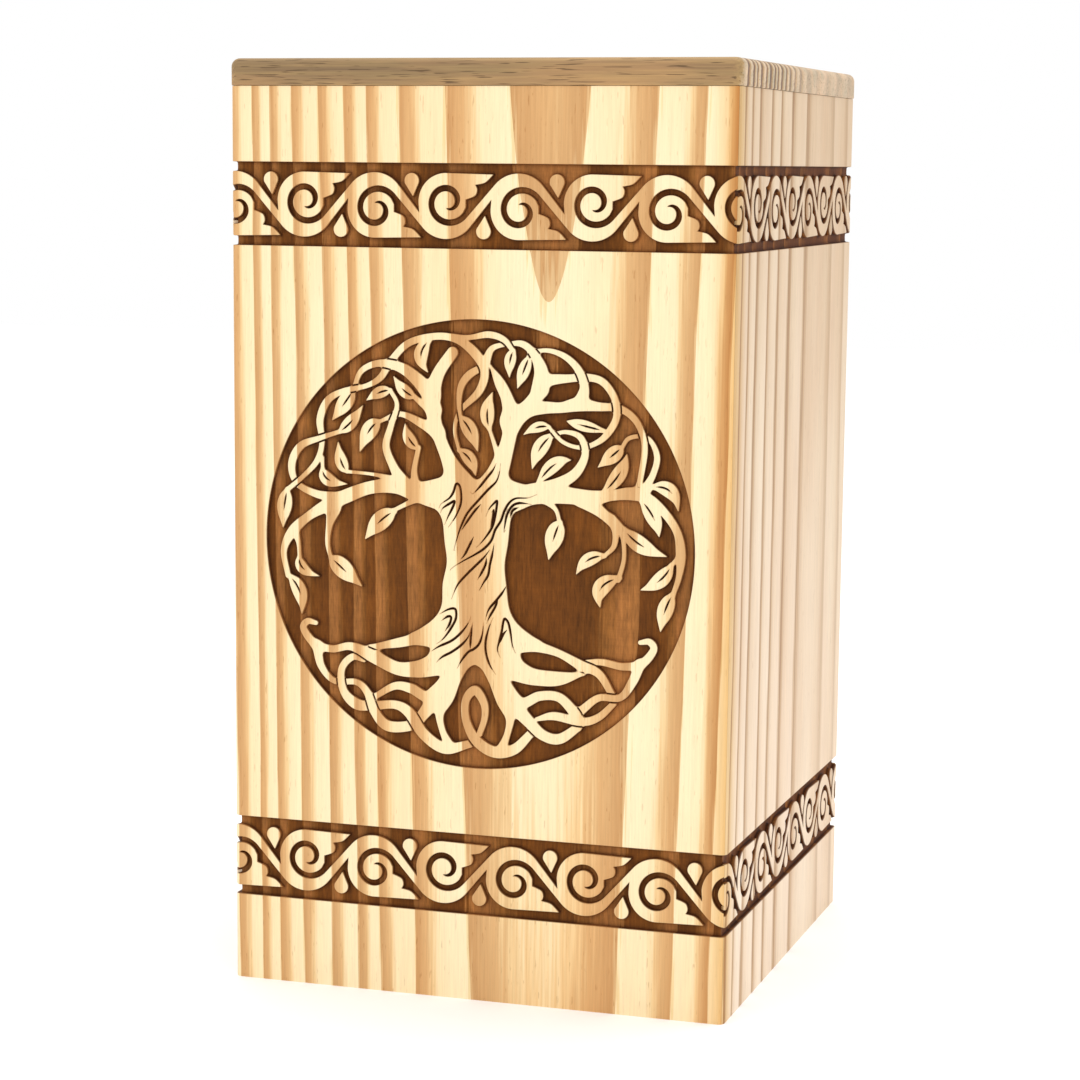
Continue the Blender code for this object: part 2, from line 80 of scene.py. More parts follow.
def sample(grid, points):
    x = np.clip((points[:, 0] - grid["xs"][0]) / grid["dx"], 0, len(grid["xs"]) - 1.000001)
    y = np.clip((points[:, 1] - grid["ys"][0]) / grid["dy"], 0, len(grid["ys"]) - 1.000001)
    j, i = x.astype(int), y.astype(int)
    fx, fy = x - j, y - i
    v = grid["values"]
    return ((v[i, j] * (1 - fx) + v[i, j + 1] * fx) * (1 - fy)
            + (v[i + 1, j] * (1 - fx) + v[i + 1, j + 1] * fx) * fy)


def polygonDistance(grid, outline):
    x, y = np.meshgrid(grid["xs"], grid["ys"])
    nearest = np.full(x.shape, 1e9)
    inside = np.zeros(x.shape, bool)
    for (ax, ay), (bx, by) in zip(outline, outline[1:] + outline[:1]):
        length = (bx - ax) ** 2 + (by - ay) ** 2
        if length < 1e-12:
            continue
        t = np.clip(((x - ax) * (bx - ax) + (y - ay) * (by - ay)) / length, 0, 1)
        nearest = np.minimum(nearest, (x - ax - t * (bx - ax)) ** 2 + (y - ay - t * (by - ay)) ** 2)
        if ay != by:
            crosses = (y < max(ay, by)) & (y >= min(ay, by))
            inside ^= crosses & (x < ax + (y - ay) * (bx - ax) / (by - ay))
    return np.where(inside, -1, 1) * np.sqrt(nearest)


# A smooth run through (x, y, width) points, with about `spacing` between the points it returns
def smoothRun(points, spacing=0.45):
    p = np.array(points, float)
    p = np.vstack([2 * p[0] - p[1], p, 2 * p[-1] - p[-2]])
    run = []
    for a, b, c, d in zip(p, p[1:], p[2:], p[3:]):
        count = max(int(math.hypot(*(c - b)[:2]) / spacing), 2)
        t = np.linspace(0, 1, count, endpoint=False)[:, None]
        run.append(0.5 * (2 * b + (c - a) * t + (2 * a - 5 * b + 4 * c - d) * t ** 2
                          + (3 * b - a - 3 * c + d) * t ** 3))
    run.append(p[-2:-1])
    run = np.vstack(run)
    run[:, 2] = np.maximum(run[:, 2], 0.05)
    return run


# Distance to a run with changing width. It is only worked out near the run.
def strokeDistance(grid, run, reach=3.2):
    pad = run[:, 2].max() / 2 + reach
    rows, cols = window(grid, run[:, 0].min() - pad, run[:, 0].max() + pad,
                        run[:, 1].min() - pad, run[:, 1].max() + pad)
    field = np.full((rows.stop - rows.start, cols.stop - cols.start), farOff)
    for (ax, ay, aw), (bx, by, bw) in zip(run, run[1:]):
        pad = max(aw, bw) / 2 + reach
        r, c = window(grid, min(ax, bx) - pad, max(ax, bx) + pad,
                      min(ay, by) - pad, max(ay, by) + pad)
        x, y = np.meshgrid(grid["xs"][c], grid["ys"][r])
        length = max((bx - ax) ** 2 + (by - ay) ** 2, 1e-9)
        t = np.clip(((x - ax) * (bx - ax) + (y - ay) * (by - ay)) / length, 0, 1)
        d = np.hypot(x - ax - t * (bx - ax), y - ay - t * (by - ay)) - (aw + t * (bw - aw)) / 2
        local = (slice(r.start - rows.start, r.stop - rows.start),
                 slice(c.start - cols.start, c.stop - cols.start))
        field[local] = np.minimum(field[local], d)
    return rows, cols, field


def softMin(a, b, k):
    h = np.clip(0.5 + 0.5 * (b - a) / k, 0, 1)
    return b * (1 - h) + a * h - k * h * (1 - h)


# Level lines of a field, chained into runs of points
def levelLines(grid, level):
    v = grid["values"] - level
    v[v == 0] = 1e-9
    up = v > 0
    rows, cols = v.shape
    xs, ys = grid["xs"], grid["ys"]
    flat = rows * cols
    # crossings on the grid's level edges, then on its upright ones
    i, j = np.nonzero(up[:, :-1] != up[:, 1:])
    t = v[i, j] / (v[i, j] - v[i, j + 1])
    names = [i * cols + j]
    places = [np.stack([xs[j] + t * grid["dx"], ys[i]], 1)]
    i, j = np.nonzero(up[:-1, :] != up[1:, :])
    t = v[i, j] / (v[i, j] - v[i + 1, j])
    names.append(flat + i * cols + j)
    places.append(np.stack([xs[j], ys[i] + t * grid["dy"]], 1))
    where = dict(zip(np.concatenate(names).tolist(), np.concatenate(places).tolist()))
    case = up[:-1, :-1] * 1 + up[:-1, 1:] * 2 + up[1:, 1:] * 4 + up[1:, :-1] * 8
    sides = {1: "SW", 2: "SE", 3: "WE", 4: "EN", 6: "SN", 7: "WN",
             8: "WN", 9: "SN", 11: "EN", 12: "WE", 13: "SE", 14: "SW"}
    links = {}

    def edge(side, i, j):
        return {"S": i * cols + j, "N": (i + 1) * cols + j,
                "W": flat + i * cols + j, "E": flat + i * cols + j + 1}[side]

    def join(pair, i, j):
        a, b = edge(pair[0], i, j), edge(pair[1], i, j)
        for p, q in zip(a.tolist(), b.tolist()):
            links.setdefault(p, []).append(q)
            links.setdefault(q, []).append(p)

    for number, pair in sides.items():
        join(pair, *np.nonzero(case == number))
    middle = v[:-1, :-1] + v[:-1, 1:] + v[1:, 1:] + v[1:, :-1] > 0
    for number, pairs in ((5, ("SE", "WN")), (10, ("SW", "EN"))):
        for swap in (False, True):
            i, j = np.nonzero((case == number) & (middle != swap))
            chosen = pairs if not swap else {5: ("SW", "EN"), 10: ("SE", "WN")}[number]
            for pair in chosen:
                join(pair, i, j)
    lines = []
    used = set()
    ends = [n for n, near in links.items() if len(near) == 1]
    for start in ends + list(links):
        if start in used:
            continue
        chain = [start]
        used.add(start)
        while True:
            onward = [n for n in links[chain[-1]] if n not in used]
            if not onward:
                break
            chain.append(onward[0])
            used.add(onward[0])
        closed = len(chain) > 2 and start in links[chain[-1]]
        if len(chain) > 5:
            lines.append((np.array([where[n] for n in chain]), closed))
    return lines


# Leaves out the points that a line doesn't need to stay within `slack` of where it was
def thinned(points, closed, slack):
    n = len(points)
    keep = np.zeros(n, bool)
    far = int(np.argmax(((points - points[0]) ** 2).sum(1))) if closed else n - 1
    keep[[0, far, n - 1]] = True
    todo = [(0, far), (far, n - 1)] if far < n - 1 else [(0, far)]
    while todo:
        a, b = todo.pop()
        if b - a < 2:
            continue
        d = points[b] - points[a]
        length = math.hypot(*d)
        gap = points[a + 1:b] - points[a]
        if length > 1e-9:
            off = np.abs(gap[:, 0] * d[1] - gap[:, 1] * d[0]) / length
        else:
            off = np.hypot(*gap.T)
        k = int(np.argmax(off))
        if off[k] > slack:
            keep[a + 1 + k] = True
            todo += [(a, a + 1 + k), (a + 1 + k, b)]
    return points[keep]


# How a section through the carving runs: distance from the wood's edge, depth below the face,
# and how dark the burning has left it, with painted shade added at the foot of the carving's sides
relief = {
    "distances": (-0.16, 0.0, 0.11, 0.42, 1.30, 3.2),
    "depths": (0.0, 0.07, 1.20, 1.46, walls["recess"], walls["recess"]),
    "char": (0.0, 0.30, 1.0, 0.80, 0.66, 0.62),
    "slack": 0.012,
}


# Triangles over a rectangle, with every level line of the field in them
def carvedSheet(grid, left, right, low, high):
    points = [(left, low), (right, low), (right, high), (left, high)]
    edges = [(0, 1), (1, 2), (2, 3), (3, 0)]
    for level in relief["distances"]:
        slack = relief["slack"] * (1 if level < 0.5 else 4)
        for line, closed in levelLines(grid, level):
            line = thinned(line, closed, slack)
            first = len(points)
            points += line.tolist()
            last = len(points) - 1
            edges += [(k, k + 1) for k in range(first, last)]
            if closed:
                edges.append((last, first))
    made = geometry.delaunay_2d_cdt([Vector(p) for p in points], edges, [], 0, 1e-5, False)
    flat = np.array([tuple(v) for v in made[0]])
    return flat, np.array(made[2]), sample(grid, flat)


def sheetMesh(name, flat, triangles, distance):
    depth = np.interp(distance, relief["distances"], relief["depths"])
    # char: how burnt the wood is, plus painted shade at the foot of the carving's walls
    char = np.interp(distance, relief["distances"], relief["char"])
    mesh = bpy.data.meshes.new(name)
    mesh.from_pydata([(x, y, -d) for (x, y), d in zip(flat, depth)], [], triangles.tolist())
    mesh.attributes.new("char", "FLOAT", "POINT").data.foreach_set("value", char.astype(np.float32))
    return mesh


# The scroll, drawn from the middle of a drop: a leaf-shaped volute, its groove, and the next crest
scroll = {
    "notch": (2.3, -1.9),
    "body": ((10.24, 1.0), 8.17),
    "under": [(24.2, 8.85), (22.7, 7.3), (21.4, 6.45), (18.9, 5.95)],
    "lobe": [(18.9, 5.95), (19.4, 5.1), (19.45, 4.2), (19.1, 3.2), (18.2, 2.6), (16.1, 1.85)],
    "heel": (16.1, -0.3),
    "groove": {"middle": (10.75, 1.12), "radius": 2.87, "growth": 0.602, "from": -105, "to": 327,
               "width": 1.8, "taper": 0.30},
    "crest": ((31.67, 0.0), 9.2, 140, 40),
    "drop": ((0.0, 6.95), 2.15, (0.4, 2.6)),
    "drawnRepeat": 42.86,
    # how far the ground's outline runs on past the drawn scrolls, along the band and away from it
    "runOn": (9, 30),
}


def arc(middle, radius, start, end, count):
    angles = np.radians(np.linspace(start, end, count))
    return [(middle[0] + radius * math.cos(a), middle[1] + radius * math.sin(a)) for a in angles]


def through(points):
    return [(x, y) for x, y, _ in smoothRun([(x, y, 1) for x, y in points], 0.4)]


def scrollEdge():
    groove = scroll["groove"]
    inner, outer = [], []
    for share in np.linspace(0, 1, 60):
        angle = math.radians(groove["from"] + (groove["to"] - groove["from"]) * share)
        radius = groove["radius"] + groove["growth"] * angle
        half = groove["width"] / 2 * min(1.0, (share / groove["taper"]) ** 0.7)
        for side, edge in ((-1, inner), (1, outer)):
            edge.append((groove["middle"][0] + (radius + side * half) * math.cos(angle),
                         groove["middle"][1] + (radius + side * half) * math.sin(angle)))
    middle, radius, start, end = scroll["crest"]
    return ([scroll["notch"]] + arc(*scroll["body"], 180, 90, 24) + through(scroll["under"])
            + through(scroll["lobe"])[1:] + [scroll["heel"]] + inner[::-1] + outer[1:]
            + arc(middle, radius, start, end, 26))


def dropOutline():
    middle, radius, tip = scroll["drop"]
    return arc(middle, radius, -20, 200, 22) + [tip]


# One repeat of the band as carved wood, the same at both its ends
def makeBandTile():
    half = walls["bandHeight"] / 2
    margin = walls["bandMargin"]
    grid = makeGrid(0, repeat, -half - margin, half + margin)
    x, y = np.meshgrid(grid["xs"], grid["ys"])
    scale = repeat / scroll["drawnRepeat"]
    wood = np.full(x.shape, farOff)
    for side in (1, -1):
        shift = 0 if side > 0 else repeat / 2
        edge = []
        for k in range(-3, 4):
            edge += [(px * scale + shift + k * repeat, side * py) for px, py in scrollEdge()]
        start, away = edge[0][0] - scroll["runOn"][0], side * scroll["runOn"][1]
        ground = [(start, away), (start, edge[0][1])] + edge + [(edge[-1][0], away)]
        clear = polygonDistance(grid, ground)
        for k in range(-1, 2):
            drop = [(px * scale + shift + k * repeat, side * py) for px, py in dropOutline()]
            clear = np.maximum(clear, -polygonDistance(grid, drop))
        wood = np.minimum(wood, clear)
    # clear is below zero over the ground, so it is turned over; outside the band all is wood
    grid["values"] = np.minimum(-wood, half - np.abs(y))
    return sheetMesh("bandTile", *carvedSheet(grid, 0, repeat, -half - margin, half + margin))


# The tree, from the panel's middle: each branch and root is a run of (x, z, width)
branches = {
    "trunk": [(0, 15, 34), (-0.4, 11.8, 29), (-0.3, 10.4, 24), (-0.1, 8.4, 21.2), (0.1, 6, 20),
              (0.1, 1, 19), (0, -5, 17.4), (-0.3, -11.2, 19.2), (0, -17.4, 20.4), (0, -21.4, 25),
              (0, -25, 34), (0, -27.6, 40), (0, -29.6, 27), (0, -32, 25), (0, -34, 12)],
    "crownLeft": [(-1, 12, 11), (-5.5, 19, 7), (-8.6, 25, 4.2), (-11.2, 31, 3.7),
                  (-12.9, 37, 4.2), (-13.2, 43, 4.6), (-11.4, 49, 3.6), (-7.3, 54.9, 3.2)],
    "crownRight": [(2, 12, 11), (5.5, 19, 7), (8, 25.5, 5), (9.7, 31.5, 4.2), (10.4, 37, 5),
                   (9, 42.5, 3.6), (6.8, 46.8, 3), (4.2, 51.2, 0.6)],
    "forkRight": [(10, 36, 6), (15, 39.3, 4.4), (20, 40.2, 3.5), (25, 40.4, 3), (30, 41.4, 3.8),
                  (36, 41, 2.5), (42, 40.7, 2), (46.4, 37.9, 1.9), (48.8, 33.5, 1.7),
                  (49.4, 28.5, 1.8), (48.1, 20, 1.6)],
    "forkUpper": [(15, 40, 4), (18.5, 44.5, 3.6), (20.5, 47.6, 3.4), (27, 48.6, 2.3),
                  (33.5, 49, 2.1), (37.5, 47.6, 2.1), (40.6, 43.3, 2), (41.2, 38.5, 2),
                  (39.2, 34.3, 2), (36, 31.2, 1.6), (31, 29.4, 1.2), (25.6, 30.8, 1.1),
                  (21.3, 35, 0.9)],
    "archRight": [(15.4, 54.6, 0.9), (18.6, 56.1, 1.1), (22.5, 56, 1.4), (26.6, 54.3, 1.8),
                  (30, 51, 2.2), (31.7, 46.5, 2.6), (31, 42.5, 4)],
    "loopRight": [(2.6, 52.5, 2.6), (4.6, 56.4, 1.7), (9.3, 57.7, 1.2), (13.5, 57.8, 1.9),
                  (16.8, 55.2, 2.4), (19, 50.5, 4), (18.8, 45.5, 5)],
    "topRight": [(-7, 59.3, 1.2), (-2, 59.3, 1.4), (3.5, 60.2, 1.9), (8, 58.9, 1.7),
                 (10.9, 55.5, 1.2)],
    "innerLoop": [(-4.8, 36.3, 0.9), (-5.3, 41, 1.4), (-4.6, 45.6, 2), (-2.2, 48.8, 2.2),
                  (1.6, 51, 1.8)],
    "topLeft": [(-57.8, 13.8, 1.4), (-53, 17.8, 1.3), (-48.6, 22.5, 1.7), (-47, 28, 1.6),
                (-47.6, 34.5, 2.2), (-45.3, 40, 2.1), (-40.5, 42.9, 1.6), (-33.5, 44.6, 1.4),
                (-29, 47.2, 1.9), (-25.8, 52, 2), (-20.5, 57.2, 2), (-12.5, 59.3, 2),
                (-6, 58.6, 2.2), (-0.7, 55, 2.8), (2.3, 50, 2.5), (0.7, 44.2, 2.2),
                (-5, 38.3, 1.3), (-6.5, 33, 1), (-5.2, 27.2, 1)],
    "shoulderLeft": [(-13.6, 42.5, 5), (-18, 47, 3.8), (-23, 50.2, 2.9), (-29.5, 51.2, 2),
                     (-35, 48.7, 1.6), (-37.4, 42.8, 1.1)],
    "limbLeft": [(-6, 16, 9), (-16, 14.7, 6.4), (-24, 16.3, 4.6), (-32, 15.5, 3.7),
                 (-39, 12.9, 4), (-45, 10, 3.8), (-51, 6.5, 2.6), (-56.2, 1.8, 3), (-59, -4, 1.9),
                 (-57.7, -11.3, 1.6)],
    "limbLeftUpper": [(-42, 12.2, 3), (-49, 13, 2.2), (-55, 16, 1.8), (-56.4, 21.5, 2.3),
                      (-53.6, 26.7, 2.2), (-47.5, 29.2, 1.5), (-41.4, 31.3, 1.2)],
    "limbLeftInner": [(-55.5, 2, 2.5), (-54.4, -1.7, 1.3), (-54.1, -5.6, 1.1)],
    "twigLeftLong": [(-43.4, 9, 4.4), (-44.8, 4, 2), (-45.3, -1.5, 1.4), (-44, -6.5, 1.1)],
    "twigLeftShort": [(-17, 13.2, 2), (-21.5, 11, 1.3), (-25, 9.2, 1.1)],
    "twigCrownWave": [(-22.3, 17.5, 4), (-25, 21.7, 2.6), (-27.3, 27.5, 2.2), (-25.8, 33.5, 1.8),
                      (-24, 39.5, 1.3), (-26, 43.6, 1.2)],
    "twigCrownLow": [(-11.5, 32, 4), (-16.5, 34.5, 2.6), (-23, 36.9, 1.5), (-29.3, 34.6, 1)],
    "twigCrownHigh": [(-12.5, 38.5, 4), (-16, 39.9, 2), (-19, 42.2, 1.3)],
    "twigCrownStem": [(-18.2, 16, 3), (-18.7, 21, 1.7), (-17.4, 27.6, 1.3)],
    "twigLimbFlat": [(-24, 18, 2), (-31, 19.3, 1), (-39.3, 19.8, 1)],
    "twigTopLeft": [(-46.9, 23.5, 1.1), (-46.8, 20, 1)],
    "twigHeart": [(7, 24, 1.8), (5.6, 28.7, 1.3), (3.8, 33.8, 0.9)],
    "limbRight": [(6, 16, 9), (14, 15.4, 6), (21, 16, 5.6), (28, 15.7, 4.7), (34, 15.3, 4.4),
                  (40, 16.3, 3), (46, 17, 3.6), (51.3, 15.6, 2.8), (56, 11.5, 2.4),
                  (59.3, 6.5, 2.3), (60.3, 0.5, 2.8), (59.9, -5.5, 1.7), (58.2, -11, 1.3)],
    "curlRight": [(17, 16.5, 4), (24.5, 19, 3.4), (29.6, 22.3, 2.8), (32.2, 27.5, 2.1),
                  (30.8, 32.2, 1.8), (26.5, 33.6, 1.2), (22.4, 32.6, 1)],
    "twigRightLong": [(31.5, 14.5, 4), (37, 11.5, 3.2), (40.9, 7.5, 2.1), (41, 2.3, 1.5),
                      (38, -1, 1)],
    "twigRightMiddle": [(39.3, 10, 2.6), (43, 6.2, 1.5), (43.9, -1, 1.2), (42.3, -7.5, 1.4)],
    "twigRightOuter": [(40.3, 9.8, 2.2), (44.3, 6.4, 1.2)],
    "twigRightLeaf": [(20.8, 14, 2), (23.8, 11.5, 1.2), (25, 7.6, 1.1)],
    "twigHook": [(42.6, 29.4, 1), (45, 32.6, 1.2), (50.2, 32.8, 1.2), (53, 28, 1.7),
                 (52, 22.8, 1.8), (49.2, 17.8, 2.4)],
    "twigEdgeHigh": [(50, 17.5, 2), (52, 19.4, 0.9)],
    "twigEdgeLow": [(60, 0, 1.5), (57.4, -2.7, 1)],
    "legLeft": [(-5.5, -32, 9), (-6.8, -38, 5.4), (-9.2, -43.5, 6), (-10.7, -49, 2.7),
                (-9.8, -54, 1.9), (-7.5, -58.6, 3)],
    "legRight": [(5.5, -32, 9), (6.9, -38, 5.6), (9.4, -43.5, 6), (10.7, -49, 2.7),
                 (9.8, -54, 1.9), (8, -58.6, 3)],
    "rootLeftUpper": [(-11, -26.4, 6), (-18, -27.8, 3.4), (-24, -29.3, 2.7), (-31.8, -30.9, 1.3)],
    "rootLeft": [(-10, -33.5, 8), (-13.6, -35.4, 6), (-18, -36.6, 4.8), (-24, -36.6, 3.9),
                 (-31, -33.7, 3.8), (-38, -31.1, 2.4), (-44, -32.2, 2.1), (-49.5, -30.8, 2.5),
                 (-52.9, -26.7, 2.1), (-51.7, -24.5, 1.9), (-49, -24.8, 1.3)],
    "rootLeftOuter": [(-48.7, -31.5, 3), (-47.3, -37.5, 2.2), (-43.2, -41.6, 1.7),
                      (-36.5, -41.5, 1.8), (-33, -44.3, 2.3), (-30.6, -50, 2.8),
                      (-26.5, -53.8, 3.2), (-19, -53, 3), (-15.7, -49.6, 3.4), (-11.5, -44, 5)],
    "rootLeftLoop": [(-34, -35, 1), (-37.7, -34.2, 2), (-41, -38, 2.1), (-40.4, -44.2, 2.4),
                     (-36.5, -47.9, 3.3), (-31.5, -48.2, 2.6), (-24.5, -47.4, 2.5),
                     (-20, -49.5, 3.2), (-15.5, -55.5, 3.3), (-9, -59.2, 3.2),
                     (-1.5, -57.4, 2.2)],
    "rootLeftInner": [(-9, -41, 5), (-14.5, -44.3, 3.2), (-19.5, -42.3, 2.9), (-24.5, -41.9, 2.2),
                      (-30.5, -45.3, 1.6)],
    "rootRightUpper": [(11, -26.4, 6), (18, -27.6, 3.4), (25, -29.3, 2.2), (31.5, -32.3, 2.8),
                       (37, -34.5, 2.4), (41, -40.3, 1.9)],
    "rootRight": [(10, -33.5, 8), (13.6, -35.4, 6), (18, -36.6, 4.8), (25, -36.6, 4),
                  (32.2, -34.9, 0.8)],
    "rootRightOuter": [(32.6, -31.4, 1.2), (38, -31.1, 1.9), (44, -32, 2.1), (49.5, -30.8, 2.5),
                       (52.9, -26.7, 2.1), (51.7, -24.5, 1.9), (49, -24.8, 1.3)],
    "rootRightHook": [(49, -31, 3), (46.8, -36.3, 2.6), (43.3, -40.9, 2), (37, -41.4, 2),
                      (32, -45.3, 2.4)],
    "rootRightInner": [(9, -41, 5), (14.2, -44.3, 3.2), (19.5, -42, 2.7), (25.3, -42, 2.7),
                       (29.8, -46, 3), (31.5, -48.5, 2.4)],
    "rootRightLow": [(10, -43.5, 5), (16, -49.3, 3.6), (20.5, -53.2, 3.1), (25.5, -54, 3),
                     (31, -50.3, 2.3)],
    "rootRightLeaf": [(18.8, -48.7, 1.2), (24, -47.5, 2.4), (32, -48.6, 2.4), (37, -47, 2.1),
                      (41.4, -42.8, 1.7)],
    "rootMiddle": [(17, -53, 2.3), (12, -58, 3), (6, -59.2, 3.3), (0.5, -56.2, 3.1),
                   (-2.6, -50.5, 2.4), (-2.7, -44.6, 2.3), (0.1, -41.6, 2.7), (2.8, -45.2, 2.3),
                   (3, -49.5, 1.9), (1.5, -54.2, 1.7)],
}

# Leaves: base, belly and tip of the middle line, then the full width
leaves = [
    ((-54.1, -5.4), (-53, -9), (-48, -11), 3.4),
    ((-57.4, -11.3), (-54, -16), (-53.4, -22.3), 4.4),
    ((-57.8, 13.9), (-58.8, 8.8), (-59.2, 2.8), 4.6),
    ((-44.1, -5.5), (-40.3, -8.7), (-34.8, -13.2), 5.6),
    ((-24.7, 9), (-29.3, 5.7), (-33.6, 0.6), 5.4),
    ((-46.8, 20.4), (-45, 17.2), (-39.3, 16.2), 3.8),
    ((-37.4, 43.2), (-40.2, 39.2), (-43.8, 34.5), 4.6),
    ((-41.6, 31.2), (-38, 34.2), (-34.5, 38.9), 3.8),
    ((-29.6, 34.5), (-32.6, 31.6), (-35.3, 25.8), 4.8),
    ((-26, 43.6), (-29.5, 42.8), (-33.3, 40.5), 3.4),
    ((-18.6, 42), (-22, 43.8), (-25, 47.6), 3.6),
    ((-17.5, 27.3), (-20.3, 30), (-21.5, 34.2), 3.6),
    ((-39.3, 19.9), (-41.2, 23), (-42, 28.2), 3.8),
    ((-14, 58.4), (-16.8, 53.8), (-14.7, 49.1), 4.2),
    ((-4.8, 36.6), (-1.8, 32.8), (0.4, 27.2), 4.4),
    ((-5.2, 27.3), (-1.8, 24.6), (-0.2, 20.3), 3.8),
    ((3.9, 33.6), (3.2, 38.6), (4.7, 44), 4.2),
    ((10.9, 56), (9.8, 52.8), (9.7, 48.4), 3.4),
    ((15.6, 54.6), (13.8, 50), (12.1, 45.4), 3.6),
    ((38.2, 34.2), (31, 35.7), (26.7, 36.7), 3.2),
    ((42.7, 29.8), (40, 27.4), (36, 24.1), 4.4),
    ((37.4, 16.8), (42.3, 22.6), (44.3, 28), 4.2),
    ((25, 8), (23.3, 3.6), (21.8, -2.6), 5.4),
    ((38.3, -0.8), (33.3, -2.3), (30, -6.4), 3.8),
    ((51.6, 19.1), (57, 18.2), (59.4, 12.8), 4.2),
    ((48.5, 15.5), (52.3, 10.6), (54, 5.4), 4.4),
    ((57.7, -2.4), (54.3, -7), (48.9, -9.9), 4.4),
    ((58.3, -10.5), (56, -15.5), (54.8, -21.3), 4.6),
    ((43.8, 7), (48.8, 2.7), (56.2, -0.1), 4.8),
    ((42.7, -6.8), (37.3, -10), (37.1, -15.4), 4.8),
    ((21.6, 34.8), (18, 34.6), (14, 32.4), 3.0),
    ((22.5, 32.6), (18.8, 28.5), (16.7, 22.9), 4.4),
    ((18.5, 19), (23.2, 24.3), (28, 25.8), 4),
]

# Where branches pass over one another: the place, the one on top and the one below
crossings = [
    (-55.5, 16.8, "topLeft", "limbLeftUpper"), (-47, 29.3, "limbLeftUpper", "topLeft"),
    (-37.5, 44, "topLeft", "shoulderLeft"), (-26.3, 51, "shoulderLeft", "topLeft"),
    (-24.2, 37, "twigCrownWave", "twigCrownLow"), (-5.4, 38.2, "innerLoop", "topLeft"),
    (0.8, 50.4, "topLeft", "innerLoop"), (9.5, 57.5, "topRight", "loopRight"),
    (17.2, 55.5, "loopRight", "archRight"), (31.5, 49, "archRight", "forkUpper"),
    (41, 41, "forkUpper", "forkRight"), (32.3, 29.5, "curlRight", "forkUpper"),
    (23.2, 33.3, "forkUpper", "curlRight"), (49.3, 33, "forkRight", "twigHook"),
    (48, 20.3, "limbRight", "forkRight"), (-32, -31, "rootLeft", "rootLeftUpper"),
    (-34.7, -34.3, "rootLeft", "rootLeftLoop"), (-41.2, -41.3, "rootLeftLoop", "rootLeftOuter"),
    (-31.7, -48.2, "rootLeftOuter", "rootLeftLoop"), (-30.3, -45, "rootLeftOuter", "rootLeftInner"),
    (-17.5, -52.3, "rootLeftLoop", "rootLeftOuter"), (-1, -57.2, "rootMiddle", "rootLeftLoop"),
    (16.8, -52.5, "rootRightLow", "rootMiddle"), (30.3, -50.3, "rootRightLeaf", "rootRightLow"),
    (41.3, -42.4, "rootRightHook", "rootRightLeaf"), (32, -45.5, "rootRightInner", "rootRightHook"),
    (41, -40.2, "rootRightHook", "rootRightUpper"), (32.5, -31.2, "rootRightUpper", "rootRightOuter"),
    (29.5, -33, "rootRightUpper", "rootRight"),
]

# Fine cuts that follow the twist of the trunk
barkLines = [
    [(-11.2, 10.2), (-10.5, 11.7), (-8, 13.5), (-6.8, 15.3), (-6, 17.6), (-5, 17.2), (-4.5, 15),
     (-4.6, 12), (-6, 8.5), (-8, 5.5), (-9, 4.3)],
    [(-10.7, 9), (-10, 10.5), (-7.8, 12), (-6.5, 12.7), (-6.8, 11.3), (-8.3, 8.3), (-9.4, 5.8)],
    [(6, 24), (5, 22), (3, 19.5), (1, 17), (-1, 15), (-1.7, 15.7)],
    [(7.3, 24), (7, 21.5), (6, 18.8), (3.5, 16.3), (0.5, 13), (-2.5, 9.5), (-4.5, 5.5), (-5.8, 1.5),
     (-6.5, -1.5), (-5.4, -0.6)],
    [(1.8, 12.5), (-0.5, 10), (-3, 6.5), (-4.5, 4)],
    [(3, 8.7), (4, 11), (5.5, 12.7), (6.3, 13.3), (6.2, 11.5), (5.7, 8.5), (5, 6), (3.5, 3.5),
     (1.5, 1), (-0.5, -1)],
    [(4.7, 10), (5.3, 10.8), (5, 8), (4.3, 5)],
    [(18.5, 15.8), (15.5, 14.6), (12, 14.3), (10, 13), (8.5, 10.5), (7.5, 7.7), (5.8, 5), (4.7, 2),
     (2.5, -0.5), (-0.5, -2.5), (-4, -4.5), (-7, -6.5), (-9, -8.8)],
    [(16.5, 12.8), (13, 13), (10.8, 12), (9.3, 9.5), (8.7, 6.5), (8.5, 4.5), (9.2, 5.5)],
    [(12.8, 11.8), (11, 10.8), (10.2, 8.7)],
    [(-0.5, 3), (-2, 0), (-3.3, -2.5), (-4.8, -4.3)],
    [(5.6, 1.4), (5, -2), (4.3, -5), (3.8, -8), (2.3, -10.5), (0.7, -13.5)],
    [(4.8, 0), (2.5, -3), (0, -5.5), (-3, -8.5), (-5.5, -11.5), (-7.3, -15.7)],
    [(3.3, -2.7), (3, -5), (1.8, -7.5), (0.5, -9.7)],
    [(9.5, -10.5), (8, -13), (6, -15.5), (4, -18), (3, -21)],
    [(7, -14), (6, -17), (4.3, -20), (3.5, -22)],
    [(-11.5, -20.5), (-8.5, -18.7), (-6.5, -18.2), (-5.8, -19), (-6, -21.5), (-8, -25), (-10, -27.5),
     (-12, -29)],
    [(-10.3, -22), (-8.3, -20.6), (-7.3, -20.8), (-7.8, -22.8), (-9.3, -25.2)],
    [(-13.5, -31.2), (-11, -29.5), (-7, -27.5), (-4, -24.8), (-2, -22), (-1.2, -20)],
    [(-12, -34.5), (-10, -32.5), (-7, -30.8), (-4, -28.5), (-2, -26), (-1.3, -23.5)],
    [(-5.5, -35.8), (-4, -33), (-2, -30.5), (-0.5, -29.7), (1.2, -28), (2.2, -25), (2.6, -21)],
    [(-1.5, -30), (-1.3, -26), (-0.8, -22)],
    [(6.5, -36.8), (4.5, -34), (3.3, -30.5), (3.2, -27), (4.2, -23), (5.5, -20)],
    [(8, -32.3), (6.8, -29.5), (7.3, -26.8), (8, -24), (8.5, -21), (9, -20.3), (10, -21.5),
     (10.7, -24.5), (11.3, -28), (12.8, -31.2)],
    [(7, -28), (8.5, -24.8), (9.8, -23.3)],
]

